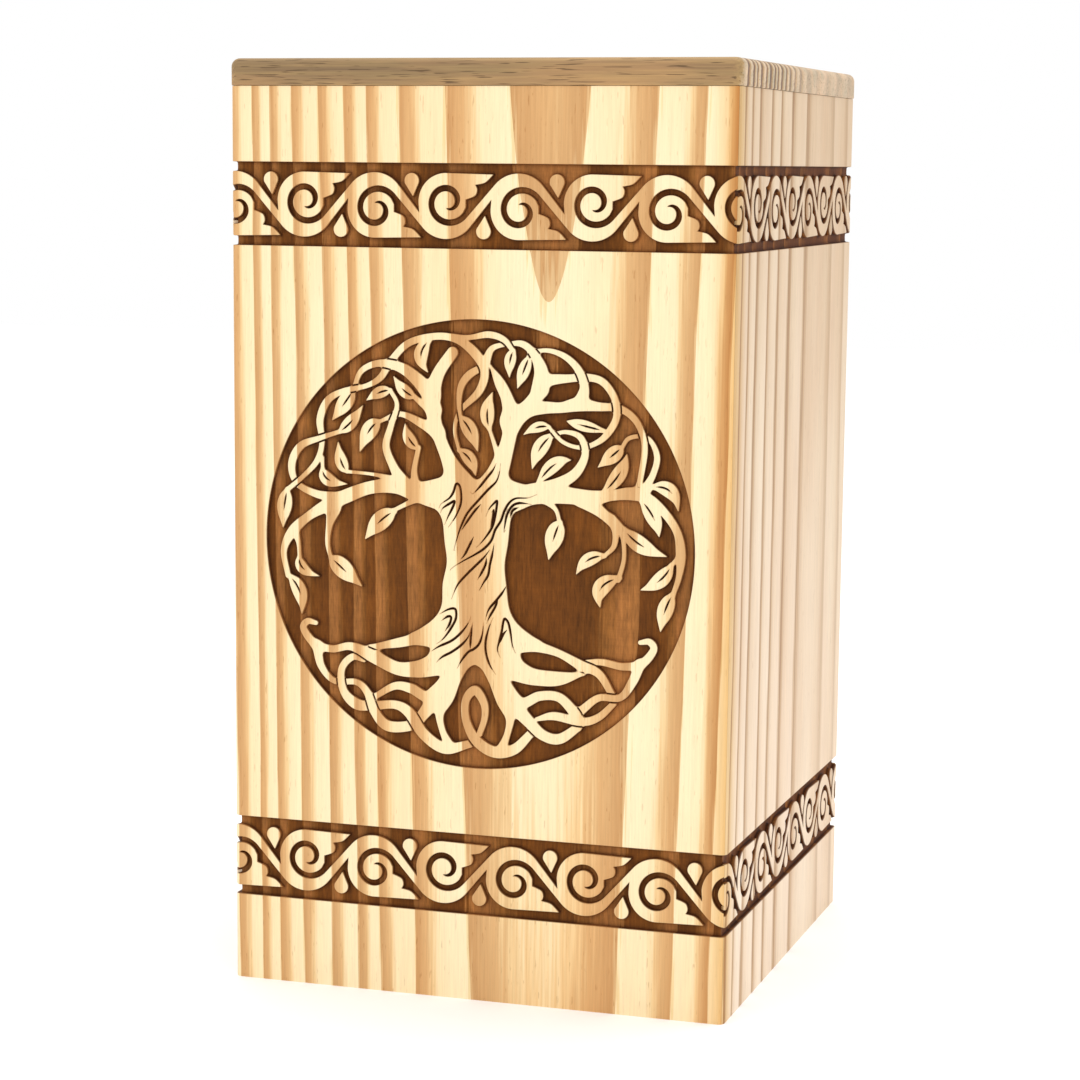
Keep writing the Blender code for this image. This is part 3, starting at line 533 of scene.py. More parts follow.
# The fillet where a branch meets another is a share of its width, within limits. A cut starts and
# ends in a point over these shares of its length.
panel = {
    "radius": 64.4, "margin": 2.0,
    "fillet": 0.27, "filletLimits": (0.7, 2.4), "leafFillet": 0.3,
    "gap": 0.5, "gapSpread": 0.3, "crossingReach": 4.0, "crossingWindow": 5,
    "leafShape": [(0.0, 0.30), (0.12, 0.52), (0.28, 0.88), (0.45, 1.0), (0.62, 0.84), (0.80, 0.46),
                  (1.0, 0.05)],
    "veinWidth": 0.55, "veinShares": (0.10, 0.25, 0.42, 0.60), "barkWidth": 0.72,
    "cutStart": 0.25, "cutEnd": 0.35, "cutTip": 0.12, "cutReach": 1.0,
}


# A bend through base, belly and tip of a leaf, for a share of the way along it
def onLeaf(leaf, share):
    point = []
    for b, m, t in zip(*leaf[:3]):
        pull = 2 * m - (b + t) / 2
        point.append((1 - share) ** 2 * b + 2 * share * (1 - share) * pull + share ** 2 * t)
    return point


# A cut that comes to a point at both ends
def taperedCut(points, width):
    run = smoothRun([(x, z, 1) for x, z in points], 0.35)
    share = np.linspace(0, 1, len(run))
    tapering = np.minimum(share / panel["cutStart"], (1 - share) / panel["cutEnd"])
    run[:, 2] = width * np.clip(tapering, panel["cutTip"], 1)
    return run


# The trunk is too broad for a run of round strokes, so both its edges are drawn
def trunkOutline():
    run = smoothRun(branches["trunk"], 1.0)
    left = [(x - width / 2, z) for x, z, width in run]
    right = [(x + width / 2, z) for x, z, width in run]
    return left + right[::-1]


def makePanelSheet():
    reach = panel["radius"] + panel["margin"]
    grid = makeGrid(-reach, reach, -reach, reach)
    tree = grid["values"]
    strokes = {name: strokeDistance(grid, smoothRun(run))
               for name, run in branches.items() if name != "trunk"}
    tree[:] = polygonDistance(grid, trunkOutline())
    least, most = panel["filletLimits"]
    for name, (rows, cols, field) in strokes.items():
        broad = max(width for x, z, width in branches[name])
        fillet = min(max(panel["fillet"] * broad, least), most)
        tree[rows, cols] = softMin(tree[rows, cols], field, fillet)
    for leaf in leaves:
        run = [(*onLeaf(leaf, share), leaf[3] * full) for share, full in panel["leafShape"]]
        rows, cols, field = strokeDistance(grid, smoothRun(run, 0.3))
        tree[rows, cols] = softMin(tree[rows, cols], field, panel["leafFillet"])
    x, z = np.meshgrid(grid["xs"], grid["ys"])

    def whole(name):
        field = np.full(x.shape, farOff)
        rows, cols, near = strokes[name]
        field[rows, cols] = near
        return field

    around = panel["crossingWindow"]
    for px, pz, over, under in crossings:
        rows, cols = window(grid, px - around, px + around, pz - around, pz + around)
        above, below = whole(over)[rows, cols], whole(under)[rows, cols]
        rim = np.abs(above - panel["gap"] / 2) - panel["gap"] / 2
        near = np.hypot(x[rows, cols] - px, z[rows, cols] - pz) - panel["crossingReach"]
        cut = np.maximum(np.maximum(rim, below - panel["gapSpread"]), near)
        tree[rows, cols] = np.maximum(tree[rows, cols], -cut)
    cuts = [taperedCut(line, panel["barkWidth"]) for line in barkLines]
    for leaf in leaves:
        vein = [onLeaf(leaf, share) for share in panel["veinShares"]]
        cuts.append(taperedCut(vein, panel["veinWidth"]))
    for run in cuts:
        rows, cols, field = strokeDistance(grid, run, panel["cutReach"])
        tree[rows, cols] = np.maximum(tree[rows, cols], -field)
    grid["values"] = np.minimum(tree, panel["radius"] - np.hypot(x, z))
    return sheetMesh("treePanel", *carvedSheet(grid, -reach, reach, -reach, reach))


# Adds one node. What feeds a socket, by its name or number, is a node, a (node, output) pair or a
# plain value. Stops fill a colour ramp and bends a curve; the rest are the node's own settings.
def addNode(tree, kind, feeds=None, stops=None, bends=None, **settings):
    node = tree.nodes.new(kind)
    count = len(tree.nodes)
    node.location = (count % 10 * 210, -(count // 10) * 290)
    for name, value in settings.items():
        setattr(node, name, value)
    if stops:
        elements = node.color_ramp.elements
        elements.remove(elements[-1])
        elements[0].position, elements[0].color = stops[0]
        for position, colour in stops[1:]:
            elements.new(position).color = colour
    if bends:
        line = node.mapping.curves[0]
        line.points[0].location, line.points[1].location = bends[0], bends[-1]
        for bend in bends[1:-1]:
            line.points.new(*bend)
        for point in line.points:
            point.handle_type = "AUTO_CLAMPED"
        node.mapping.update()
    for name, value in (feeds or {}).items():
        named = [s for s in node.inputs if s.name == name and s.enabled]
        socket = named[0] if named else node.inputs[name]
        if isinstance(value, bpy.types.Node):
            tree.links.new(next(s for s in value.outputs if s.enabled), socket)
        elif isinstance(value, tuple) and isinstance(value[0], bpy.types.Node):
            tree.links.new(value[0].outputs[value[1]], socket)
        else:
            socket.default_value = value
    return node


def bandNodes():
    tree = bpy.data.node_groups.new("scroll band along a board", "GeometryNodeTree")
    for name, kind in (("Geometry", "Geometry"), ("Tile", "Object"), ("Tiles", "Int"),
                       ("First tile at", "Float"), ("Repeat", "Float"), ("Weld distance", "Float"),
                       ("Finish", "Material")):
        tree.interface.new_socket(name, in_out="INPUT", socket_type="NodeSocket" + kind)
    tree.interface.new_socket("Geometry", in_out="OUTPUT", socket_type="NodeSocketGeometry")
    given = addNode(tree, "NodeGroupInput")
    start = addNode(tree, "ShaderNodeCombineXYZ", {"X": (given, "First tile at")})
    step = addNode(tree, "ShaderNodeCombineXYZ", {"X": (given, "Repeat")})
    line = addNode(tree, "GeometryNodeMeshLine",
                   {"Count": (given, "Tiles"), "Start Location": start, "Offset": step},
                   mode="OFFSET")
    tile = addNode(tree, "GeometryNodeObjectInfo", {"Object": (given, "Tile")})
    laid = addNode(tree, "GeometryNodeInstanceOnPoints",
                   {"Points": line, "Instance": (tile, "Geometry")})
    real = addNode(tree, "GeometryNodeRealizeInstances", {"Geometry": laid})
    weld = addNode(tree, "GeometryNodeMergeByDistance",
                   {"Geometry": real, "Distance": (given, "Weld distance")})
    finish = addNode(tree, "GeometryNodeSetMaterial",
                     {"Geometry": weld, "Material": (given, "Finish")})
    addNode(tree, "NodeGroupOutput", {"Geometry": finish})
    return tree


def setInput(modifier, name, value):
    for item in modifier.node_group.interface.items_tree:
        if item.item_type == "SOCKET" and item.in_out == "INPUT" and item.name == name:
            modifier[item.identifier] = value


def evaluated(piece):
    depsgraph = bpy.context.evaluated_depsgraph_get()
    return bpy.data.meshes.new_from_object(piece.evaluated_get(depsgraph))


def place(name, mesh):
    piece = bpy.data.objects.new(name, mesh)
    bpy.context.scene.collection.objects.link(piece)
    return piece


def makeBandStrip(finish):
    tile = place("bandTile", makeBandTile())
    strip = place("bandStrip", bpy.data.meshes.new("bandStrip"))
    laying = strip.modifiers.new("scroll band", "NODES")
    laying.node_group = bandNodes()
    first = walls["firstDrop"] - halfWidth - repeat
    sizes = {"Tile": tile, "Tiles": int(walls["repeats"]) + 2, "First tile at": first,
             "Repeat": repeat, "Weld distance": walls["weld"], "Finish": finish}
    for name, value in sizes.items():
        setInput(laying, name, value)
    mesh = evaluated(strip)
    for spare in (strip, tile):
        bpy.data.objects.remove(spare, do_unlink=True)
    return mesh


# Bare board between two strips: one face with every point of the edges that it meets
def bareStrip(flat, low, high, left, right):
    def row(level):
        known = sorted((v for v in flat.verts if abs(v.co.y - level) < 0.01), key=lambda v: v.co.x)
        return known or [flat.verts.new((left, level, 0)), flat.verts.new((right, level, 0))]

    flat.faces.new(row(low) + row(high)[::-1])


# Joins the strips to a full flat front, from the foot of the board to its top: across is the way
# round the box, up is its height, and the third value is the level of the surface
def layOut(strip, sheet):
    flat = bmesh.new()
    half = walls["bandHeight"] / 2 + walls["bandMargin"]
    edges = [0.0]
    for middle in (walls["lowerBand"], walls["upperBand"]):
        band = strip.copy()
        band.transform(Matrix.Translation((0, middle, 0)))
        flat.from_mesh(band)
        edges += [middle - half, middle + half]
    edges.append(walls["height"])
    left = min(v.co.x for v in flat.verts)
    right = max(v.co.x for v in flat.verts)
    if sheet:
        panelMesh = sheet.copy()
        panelMesh.transform(Matrix.Translation((0, treeMiddle, 0)))
        flat.from_mesh(panelMesh)
        reach = panel["radius"] + panel["margin"]
        low, high = treeMiddle - reach, treeMiddle + reach

        def corner(x, z):
            return min(flat.verts, key=lambda v: (v.co.x - x) ** 2 + (v.co.y - z) ** 2)

        ends = []
        for z in (low, high):
            ends.append((flat.verts.new((left, z, 0)), corner(-reach, z), corner(reach, z),
                         flat.verts.new((right, z, 0))))
        flat.faces.new((ends[0][0], ends[0][1], ends[1][1], ends[1][0]))
        flat.faces.new((ends[0][2], ends[0][3], ends[1][3], ends[1][2]))
        bareStrip(flat, edges[2], low, left, right)
        bareStrip(flat, high, edges[3], left, right)
    else:
        bareStrip(flat, edges[2], edges[3], left, right)
    bareStrip(flat, edges[0], edges[1], left, right)
    bareStrip(flat, edges[4], edges[5], left, right)
    flat.normal_update()
    return flat


# The flat front is cut to length, its corners are bent round, and the mitres and back close it
def makeBoard(name, strip, sheet, turn):
    flat = layOut(strip, sheet)
    radius = walls["cornerRadius"]
    straight = halfWidth - radius
    bend = math.pi / 4 - math.asin(walls["mitreGap"] / 2 / radius)
    for side in (-1, 1):
        for k in range(walls["cornerSteps"] + 1):
            cut = side * (straight + radius * bend * k / walls["cornerSteps"])
            bmesh.ops.bisect_plane(flat, geom=flat.verts[:] + flat.edges[:] + flat.faces[:],
                                   dist=1e-5, plane_co=(cut, 0, 0), plane_no=(side, 0, 0),
                                   clear_outer=k == walls["cornerSteps"])
    # the rim of the flat front, corner by corner, before it is bent
    limit = straight + radius * bend
    byHeight = sorted(flat.verts, key=lambda v: v.co.y)
    byAcross = sorted(flat.verts, key=lambda v: v.co.x)
    rims = {
        "left": [v for v in byHeight if v.co.x < -limit + 1e-3],
        "right": [v for v in byHeight if v.co.x > limit - 1e-3],
        "foot": [v for v in byAcross if v.co.y < 1e-3],
        "top": [v for v in byAcross if v.co.y > walls["height"] - 1e-3],
    }
    for v in flat.verts:
        across, up, level = v.co
        if abs(across) <= straight:
            v.co = (across, -halfWidth - level, up)
        else:
            angle = (abs(across) - straight) / radius
            reach = radius + level
            v.co = (math.copysign(straight + reach * math.sin(angle), across),
                    -straight - reach * math.cos(angle), up)
    # the mitres run in from the rim, level by level, to the two inner corners
    inner = halfWidth - walls["thick"]
    back = {}
    for side, rim in ((-1, rims["left"]), (1, rims["right"])):
        column = []
        for v in rim:
            if column and v.co.z - column[-1].co.z < 1e-4:
                column.append(column[-1])
            else:
                column.append(flat.verts.new((side * (inner - walls["mitreGap"]), -inner, v.co.z)))
        for a, b, c, d in zip(rim, rim[1:], column[1:], column):
            flat.faces.new((a, b, c) if c is d else (a, b, c, d))
        back[side] = list(dict.fromkeys(column))
    flat.faces.new(rims["foot"] + [back[1][0], back[-1][0]])
    flat.faces.new(rims["top"] + [back[1][-1], back[-1][-1]])
    flat.faces.new(back[-1] + back[1][::-1])
    bmesh.ops.triangulate(flat, faces=[f for f in flat.faces if len(f.verts) > 4])
    bmesh.ops.recalc_face_normals(flat, faces=flat.faces)
    mesh = bpy.data.meshes.new(name)
    flat.to_mesh(mesh)
    flat.free()
    mesh.transform(Matrix.Rotation(math.radians(turn), 4, "Z") @ Matrix.Scale(mm, 4))
    mesh.shade_smooth()
    mesh.set_sharp_from_angle(angle=sharpAngle)
    return place(name, mesh)


# An sRGB hex code as the linear colour that the shaders use
def srgb(code):
    channels = [int(code[i:i + 2], 16) / 255 for i in (1, 3, 5)]
    return (*[c / 12.92 if c <= 0.04045 else ((c + 0.055) / 1.055) ** 2.4 for c in channels], 1.0)


def colours(*stops):
    return [(position, srgb(code)) for position, code in stops]


def greys(*stops):
    return [(position, (level, level, level, 1)) for position, level in stops]


# Marks that run with the grain: how wide and how long they are in mm, then detail and roughness.
# The fibres are 0.5 mm wide, because finer ones would not show from a step away.
grainMarks = {
    "waver": (26, 150, 2.0, 0.45), "ripple": (9, 42, 2.0, 0.5), "streaks": (0.9, 38, 2.0, 0.55),
    "fibres": (0.5, 14, 3.0, 0.6), "patches": (24, 110, 2.0, 0.5), "canals": (0.42, 3.2, 1.0, 0.4),
    "soot": (0.7, 6, 4.0, 0.7), "scorching": (11, 16, 3.0, 0.6), "rows": (7, 0.38, 1.0, 0.5),
}
# how far apart the noises' fourth coordinates are, so that no two marks look alike
seedStep = 3.1
# How the char value shows: where the burning begins and is full, and where the dark foot of
# the carving's sides does, which is scorch together with painted shade. Then how dark and how light
# each mark makes the burnt ground.
burning = {
    "share": ((0.04, 0.0), (0.30, 0.55), (0.55, 1.0)), "foot": (0.70, 0.97), "footScorchAndShade": "#A49280",
    "marks": (("soot", 0.68, 1.32), ("scorching", 0.76, 1.22), ("rows", 0.96, 1.04)),
    "markRange": (0.32, 0.68),
}
fibreTones = ((0.30, 0.86), (0.70, 1.07))
lacquer = {"ior": 1.5, "specular": 0.14, "rougherBurnt": 0.24, "rougherFibres": 0.08}
# the raised grain and soot: soot stands out more than fibres, and full height is in metres
grainLift = {"soot": 2.2, "strength": 0.25, "height": 0.00012}
canalDash = {"softness": 0.07, "inSummerWood": 0.45}
# a depth curve holds its values as shares of this many mm
deepest = 100.0


def calculate(tree, operation, *values, clamp=False):
    return addNode(tree, "ShaderNodeMath", dict(enumerate(values)), operation=operation,
                   use_clamp=clamp)


def remap(tree, value, start, end, low=0.0, high=1.0):
    return addNode(tree, "ShaderNodeMapRange", {
        "Value": value, "From Min": start, "From Max": end, "To Min": low, "To Max": high})


def ramp(tree, along, stops):
    return addNode(tree, "ShaderNodeValToRGB", {"Fac": along}, stops=stops)


def mix(tree, share, first, second, blend="MIX"):
    return addNode(tree, "ShaderNodeMix", {"Factor": share, "A": first, "B": second},
                   data_type="RGBA", blend_type=blend)


# The board's own axes, X across its face, Y from the face into the wood and Z along the grain, and
# the marks that run with the grain
def grainOf(tree, look):
    objectPlace = addNode(tree, "ShaderNodeTexCoord")
    inMm = addNode(tree, "ShaderNodeVectorMath", {0: (objectPlace, "Object"), "Scale": 1 / mm},
                   operation="SCALE")
    turn = tuple(math.radians(a) for a in look["turn"])
    inBoard = addNode(tree, "ShaderNodeMapping", {"Vector": inMm, "Rotation": turn})
    axes = addNode(tree, "ShaderNodeSeparateXYZ", {"Vector": inBoard})
    marks = {}
    shapes = {**grainMarks, **look["marks"]}
    for order, (mark, (wide, long, detail, rough)) in enumerate(shapes.items()):
        drawnOut = addNode(tree, "ShaderNodeMapping",
                           {"Vector": inBoard, "Scale": (1 / wide, 1 / wide, 1 / long)})
        marks[mark] = addNode(tree, "ShaderNodeTexNoise", {
            "Vector": drawnOut, "W": look["seed"] + order * seedStep, "Scale": 1.0, "Detail": detail,
            "Roughness": rough}, noise_dimensions="4D")
    return axes, marks


# How far up the board each point is, and how far through its growth ring, both from 0 to 1
def ringsOf(tree, look, axes, marks):
    # how far each point is from the heart of the log
    waver = calculate(tree, "MULTIPLY", marks["ripple"], look["ripple"])
    waver = calculate(tree, "MULTIPLY_ADD", marks["waver"], look["waver"], waver)
    middle = look["heart"] + (look["waver"] + look["ripple"]) / 2
    across = calculate(tree, "SUBTRACT", (axes, "X"), middle)
    across = calculate(tree, "ADD", across, waver)
    low, high = look["heartDepths"][0][0], look["heartDepths"][-1][0]
    height = remap(tree, (axes, "Z"), low, high)
    depth = addNode(tree, "ShaderNodeFloatCurve", {"Value": height},
                    bends=[((z - low) / (high - low), d / deepest) for z, d in look["heartDepths"]])
    deep = calculate(tree, "MULTIPLY_ADD", depth, deepest, look["face"])
    deep = calculate(tree, "SUBTRACT", deep, (axes, "Y"))
    away = addNode(tree, "ShaderNodeCombineXYZ", {"X": across, "Y": deep})
    radius = addNode(tree, "ShaderNodeVectorMath", {0: away}, operation="LENGTH")
    taper = remap(tree, height, 0.0, 1.0, *look["taper"])
    radius = calculate(tree, "MULTIPLY", (radius, "Value"), taper)
    # which ring that is, and how far through it
    near, far = look["rings"][0], look["rings"][-1]
    steps = len(look["rings"]) - 1
    reached = remap(tree, radius, near, far)
    counted = addNode(tree, "ShaderNodeFloatCurve", {"Value": reached},
                      bends=[((r - near) / (far - near), k / steps)
                             for k, r in enumerate(look["rings"])])
    counted = calculate(tree, "MULTIPLY", counted, steps)
    ring = calculate(tree, "FLOOR", counted)
    phase = calculate(tree, "FRACT", counted)
    chance = addNode(tree, "ShaderNodeTexWhiteNoise", {"W": ring}, noise_dimensions="1D")
    power = calculate(tree, "MULTIPLY_ADD", chance, look["unevenness"], 1 - look["unevenness"] / 2)
    return height, calculate(tree, "POWER", phase, power)


def bareWood(tree, look, axes, marks, height, phase, streaky):
    bare = ramp(tree, streaky, colours(*look["wood"]))
    # where the saw ran along a ring its lines are faint, and all is near the fourth colour
    fromX, toX, calmed = look["calm"]
    calm = remap(tree, (axes, "X"), fromX, toX, high=calmed)
    bare = mix(tree, calm, bare, srgb(look["wood"][3][1]))
    # fibres, broad patches, and painted shade that makes the board darker towards its top
    fresh, dull = look["patches"]
    footShadeTone, topShadeTone = look["ends"]
    tints = ((look["fibres"], marks["fibres"], greys(*fibreTones)),
             (1.0, marks["patches"], colours((0.35, fresh), (0.65, dull))),
             (1.0, height, colours((0.0, footShadeTone), (1.0, topShadeTone))))
    for share, along, stops in tints:
        bare = mix(tree, share, bare, ramp(tree, along, stops), "MULTIPLY")
    fullAt, noneAt, warmth = look["warmEdge"]
    edge = remap(tree, (axes, "X"), noneAt, fullAt)
    bare = mix(tree, edge, bare, srgb(warmth), "MULTIPLY")
    # resin canals: short dark dashes, mostly in the summer wood
    threshold, share = look["canals"]
    dash = remap(tree, marks["canals"], threshold, threshold + canalDash["softness"])
    dashes = calculate(tree, "MULTIPLY_ADD", phase, canalDash["inSummerWood"], share)
    dash = calculate(tree, "MULTIPLY", dash, dashes, clamp=True)
    return mix(tree, dash, bare, srgb(look["dash"]))


# Stripes, soot along the grain, uneven scorching, and the fine rows the beam leaves
def burntWood(tree, look, marks, streaky, char):
    burnt = ramp(tree, streaky, colours(*look["burnt"]))
    darkAt, lightAt = burning["markRange"]
    for mark, dark, light in burning["marks"]:
        tone = ramp(tree, marks[mark], greys((darkAt, dark), (lightAt, light)))
        burnt = mix(tree, 1.0, burnt, tone, "MULTIPLY")
    # the dark foot of the carving's sides: scorch, with painted shade where the walls meet the ground
    foot = remap(tree, (char, "Fac"), *burning["foot"])
    return mix(tree, foot, burnt, srgb(burning["footScorchAndShade"]), "MULTIPLY")


# Pine, planed and lacquered satin, with the carving burnt in. Each growth ring runs from pale
# spring wood to tan summer wood and stops sharply, so the face has stripes that are soft on the
# heart's side and crisp on the other. The burnt ground keeps the same stripes in brown, where the
# hard summer wood has burnt less, and is nearly black-brown at the foot of the carving's sides,
# from scorch and painted shade together.
def pine(look):
    material = bpy.data.materials.new(look["finish"])
    material.use_nodes = True
    tree = material.node_tree
    shader = tree.nodes["Principled BSDF"]
    axes, marks = grainOf(tree, look)
    height, phase = ringsOf(tree, look, axes, marks)
    streaky = calculate(tree, "MULTIPLY_ADD", marks["streaks"], look["streakiness"],
                        -look["streakiness"] / 2)
    streaky = calculate(tree, "ADD", phase, streaky, clamp=True)
    bare = bareWood(tree, look, axes, marks, height, phase, streaky)
    char = addNode(tree, "ShaderNodeAttribute", attribute_name="char")
    burnt = burntWood(tree, look, marks, streaky, char)
    burntShare = ramp(tree, (char, "Fac"), greys(*burning["share"]))
    surface = mix(tree, burntShare, bare, burnt)
    tree.links.new(surface.outputs["Result"], shader.inputs["Base Color"])

    # satin lacquer on the face, dry and rougher where it is burnt
    rough = calculate(tree, "MULTIPLY_ADD", burntShare, lacquer["rougherBurnt"], look["roughness"])
    rough = calculate(tree, "MULTIPLY_ADD", marks["fibres"], lacquer["rougherFibres"], rough)
    tree.links.new(rough.outputs[0], shader.inputs["Roughness"])
    shader.inputs["IOR"].default_value = lacquer["ior"]
    shader.inputs["Specular IOR Level"].default_value = lacquer["specular"]
    lift = calculate(tree, "MULTIPLY", marks["soot"], burntShare)
    lift = calculate(tree, "MULTIPLY_ADD", lift, grainLift["soot"], marks["fibres"])
    bump = addNode(tree, "ShaderNodeBump", {
        "Height": lift, "Strength": grainLift["strength"], "Distance": grainLift["height"]})
    tree.links.new(bump.outputs[0], shader.inputs["Normal"])
    return material


# From spring wood, at 0, to the end of the summer wood, at 1: the bare colours, then the burnt ones
cream = ((0.0, "#F0D8A8"), (0.02, "#FAE8C4"), (0.44, "#F8E4BE"), (0.57, "#EDCE9E"), (0.70, "#DAB07E"),
         (0.96, "#C99B6A"), (1.0, "#DCB788"))
rose = ((0.0, "#D8C2A4"), (0.05, "#F5E8D6"), (0.45, "#F3E5D0"), (0.72, "#E9D8BF"), (0.86, "#CAAD8B"),
        (0.93, "#B29370"), (0.98, "#B99A77"), (1.0, "#D8C2A4"))
scorched = ((0.0, "#683A10"), (0.46, "#6E3F12"), (0.58, "#855424"), (0.74, "#966030"),
            (0.97, "#9A6432"), (1.0, "#724315"))
scorchedDark = ((0.0, "#5C3110"), (0.60, "#643614"), (0.85, "#7C4A20"), (0.97, "#8C5828"),
                (1.0, "#5E3212"))

# Each board: its heart across the face and how deep that lies at each height (mm), the radius of
# each growth ring, and the colours. The hearts are those of flat-sawn boards. Along X, warmEdge
# says where a tint is full and where it ends, and calm where the stripes begin and cease to fade.
# First what a board has unless its own entry says otherwise, then what each kind of pine has.
plainBoard = {"face": -75, "marks": {}, "taper": (1, 1), "ends": ("#FFFFFF", "#FFFFFF"),
              "warmEdge": (-90, -80, "#FFFFFF"), "calm": (90, 91, 0)}
creamBoard = {**plainBoard, "wood": cream, "burnt": scorched, "fibres": 0.6, "roughness": 0.42,
              "canals": (0.66, 0.10), "dash": "#A8713C"}
roseBoard = {**plainBoard, "wood": rose, "burnt": scorchedDark, "fibres": 0.7, "roughness": 0.45,
             "canals": (0.68, 0.08), "dash": "#9C7454"}
boards = {
    "frontBoard": {
        **creamBoard, "node": "front_board", "finish": "lacqueredPineFront", "turn": (0, 0, 0),
        "heart": 21.0, "heartDepths": [(0, 26.2), (60, 24.3), (195, 18.1), (262, 13.0)],
        "rings": [0, 17.6, 34.0, 46.7, 55.9, 62.5, 69.9, 78.3, 85.2, 90.6, 98, 109],
        "waver": 2.6, "ripple": 1.2, "unevenness": 0.3, "streakiness": 0.40,
        "patches": ("#FFFDF6", "#FFF6E8"), "warmEdge": (75.2, 67.5, "#E8CDA4"), "seed": 2.0},
    "rightBoard": {
        **roseBoard, "node": "right_board", "finish": "lacqueredPineRight", "turn": (0, 0, -90),
        "heart": 26.5, "heartDepths": [(0, 12.0), (262, 12.0)], "taper": (0.955, 1),
        "rings": [0, 23.3, 40.8, 54.3, 66.1, 79.9, 88.8, 96.7, 104, 112],
        "waver": 3.0, "ripple": 1.6, "unevenness": 0.4, "streakiness": 0.30,
        # ends: painted shade, a tone that darkens this board towards its top
        "patches": ("#FFFAF6", "#F6E9DF"), "ends": ("#FFFFFF", "#E4DCD0"),
        "warmEdge": (-72, -64, "#F4E6C4"), "calm": (-5, 45, 0.55), "seed": 14.0},
    "backBoard": {
        **creamBoard, "node": "back_board", "finish": "lacqueredPineBack", "turn": (0, 0, 180),
        "heart": -14, "heartDepths": [(0, 12.5), (90, 17.0), (262, 27.0)],
        "rings": [0, 15.0, 29.5, 40.2, 50.6, 58.9, 66.4, 75.1, 83.0, 91.7, 99, 108],
        "waver": 3.6, "ripple": 1.4, "unevenness": 0.6, "streakiness": 0.45,
        "patches": ("#FFFCF4", "#FBF0DE"), "seed": 27.0},
    "leftBoard": {
        **roseBoard, "node": "left_board", "finish": "lacqueredPineLeft", "turn": (0, 0, 90),
        "heart": -31, "heartDepths": [(0, 16.0), (140, 13.0), (262, 15.0)], "taper": (1, 0.97),
        "rings": [0, 19.5, 33.0, 46.9, 58.2, 70.4, 80.7, 91.3, 100.5, 112],
        "waver": 3.4, "ripple": 1.6, "unevenness": 0.5, "streakiness": 0.35,
        # ends: painted shade, a tone that darkens this board towards its top
        "patches": ("#FFFAF2", "#F9EEDF"), "ends": ("#FFFFFF", "#F8EEE2"),
        "calm": (-5, -50, 0.5), "seed": 41.0},
}

lid = {
    "width": 150.8, "low": 262.3, "thick": 7.7, "corner": 3.0, "topEdge": 2.4, "lowEdge": 0.35,
    "plug": 129.2, "plugDepth": 6.0, "steps": 8, "lowSteps": 3,
    # Pine greyed by blue stain, sanded and oiled: a dull tan-grey with short dark pores along the
    # grain, and purple-brown stripes of summer wood across the ends that fade towards the back.
    "look": {
        **plainBoard, "finish": "oiledGreyPine", "turn": (90, -90, 0), "face": -270,
        "marks": {"canals": (0.34, 7.0, 1.0, 0.4), "patches": (5, 45, 3.0, 0.55)},
        "heart": -310, "heartDepths": [(-76, 60.0), (76, 52.0)],
        "rings": [230, 252, 268, 283, 297, 309, 319, 326, 332, 337, 342.5, 347, 351, 356.5, 361, 367,
                  371.5, 376, 382.6, 396],
        "waver": 1.0, "ripple": 0.6, "unevenness": 0.7, "streakiness": 0.35,
        "wood": ((0.0, "#9A8472"), (0.08, "#DCCEBE"), (0.34, "#D8C7B4"), (0.42, "#D6C4B2"),
                 (0.56, "#BFA27A"), (0.85, "#7E665C"), (1.0, "#846C62")),
        "fibres": 0.8, "patches": ("#FFEFD8", "#DEDAC8"), "calm": (26, -10, 0.8),
        "canals": (0.61, 0.5), "dash": "#5B4632", "burnt": scorched, "roughness": 0.45,
        "seed": 60.0},
}


def makeLid():
    body = bmesh.new()
    bmesh.ops.create_cube(body, size=1)
    bmesh.ops.scale(body, verts=body.verts, vec=(lid["width"], lid["width"], lid["thick"]))
    bmesh.ops.translate(body, verts=body.verts, vec=(0, 0, lid["low"] + lid["thick"] / 2))
    uprights = [e for e in body.edges if abs(e.verts[0].co.z - e.verts[1].co.z) > 1]
    bmesh.ops.bevel(body, geom=uprights, offset=lid["corner"], segments=lid["steps"], profile=0.5,
                    affect="EDGES")
    top = lid["low"] + lid["thick"]
    for level, radius, steps in ((top, lid["topEdge"], lid["steps"]),
                                 (lid["low"], lid["lowEdge"], lid["lowSteps"])):
        rim = [e for e in body.edges if all(abs(v.co.z - level) < 1e-4 for v in e.verts)]
        bmesh.ops.bevel(body, geom=rim, offset=radius, segments=steps, profile=0.5, affect="EDGES")
    under = min((f for f in body.faces if len(f.verts) > 8), key=lambda f: f.calc_center_median().z)
    half = lid["plug"] / 2
    low = [body.verts.new((x * half, y * half, lid["low"]))
           for x, y in ((-1, -1), (1, -1), (1, 1), (-1, 1))]
    foot = [body.verts.new((v.co.x, v.co.y, lid["low"] - lid["plugDepth"])) for v in low]
    ring = list(under.verts)
    bmesh.ops.delete(body, geom=[under], context="FACES_ONLY")
    # the underside is cut in four, from each corner's middle to the plug's
    corners = [min(ring, key=lambda v: (v.co.x - 2 * c.co.x) ** 2 + (v.co.y - 2 * c.co.y) ** 2)
               for c in low]
    for k in range(4):
        a, b = ring.index(corners[k]), ring.index(corners[(k + 1) % 4])
        forward = ring[a:b + 1] if a < b else ring[a:] + ring[:b + 1]
        other = ring[b:a + 1] if b < a else ring[b:] + ring[:a + 1]
        side = forward if len(forward) < len(other) else other[::-1]
        body.faces.new(side + [low[(k + 1) % 4], low[k]])
        body.faces.new((low[k], low[(k + 1) % 4], foot[(k + 1) % 4], foot[k]))
    body.faces.new(foot)
    bmesh.ops.recalc_face_normals(body, faces=body.faces)
    mesh = bpy.data.meshes.new("lidBoard")
    body.to_mesh(mesh)
    body.free()
    mesh.transform(Matrix.Scale(mm, 4))
    mesh.shade_smooth()
    mesh.set_sharp_from_angle(angle=sharpAngle)
    return place("lidBoard", mesh)


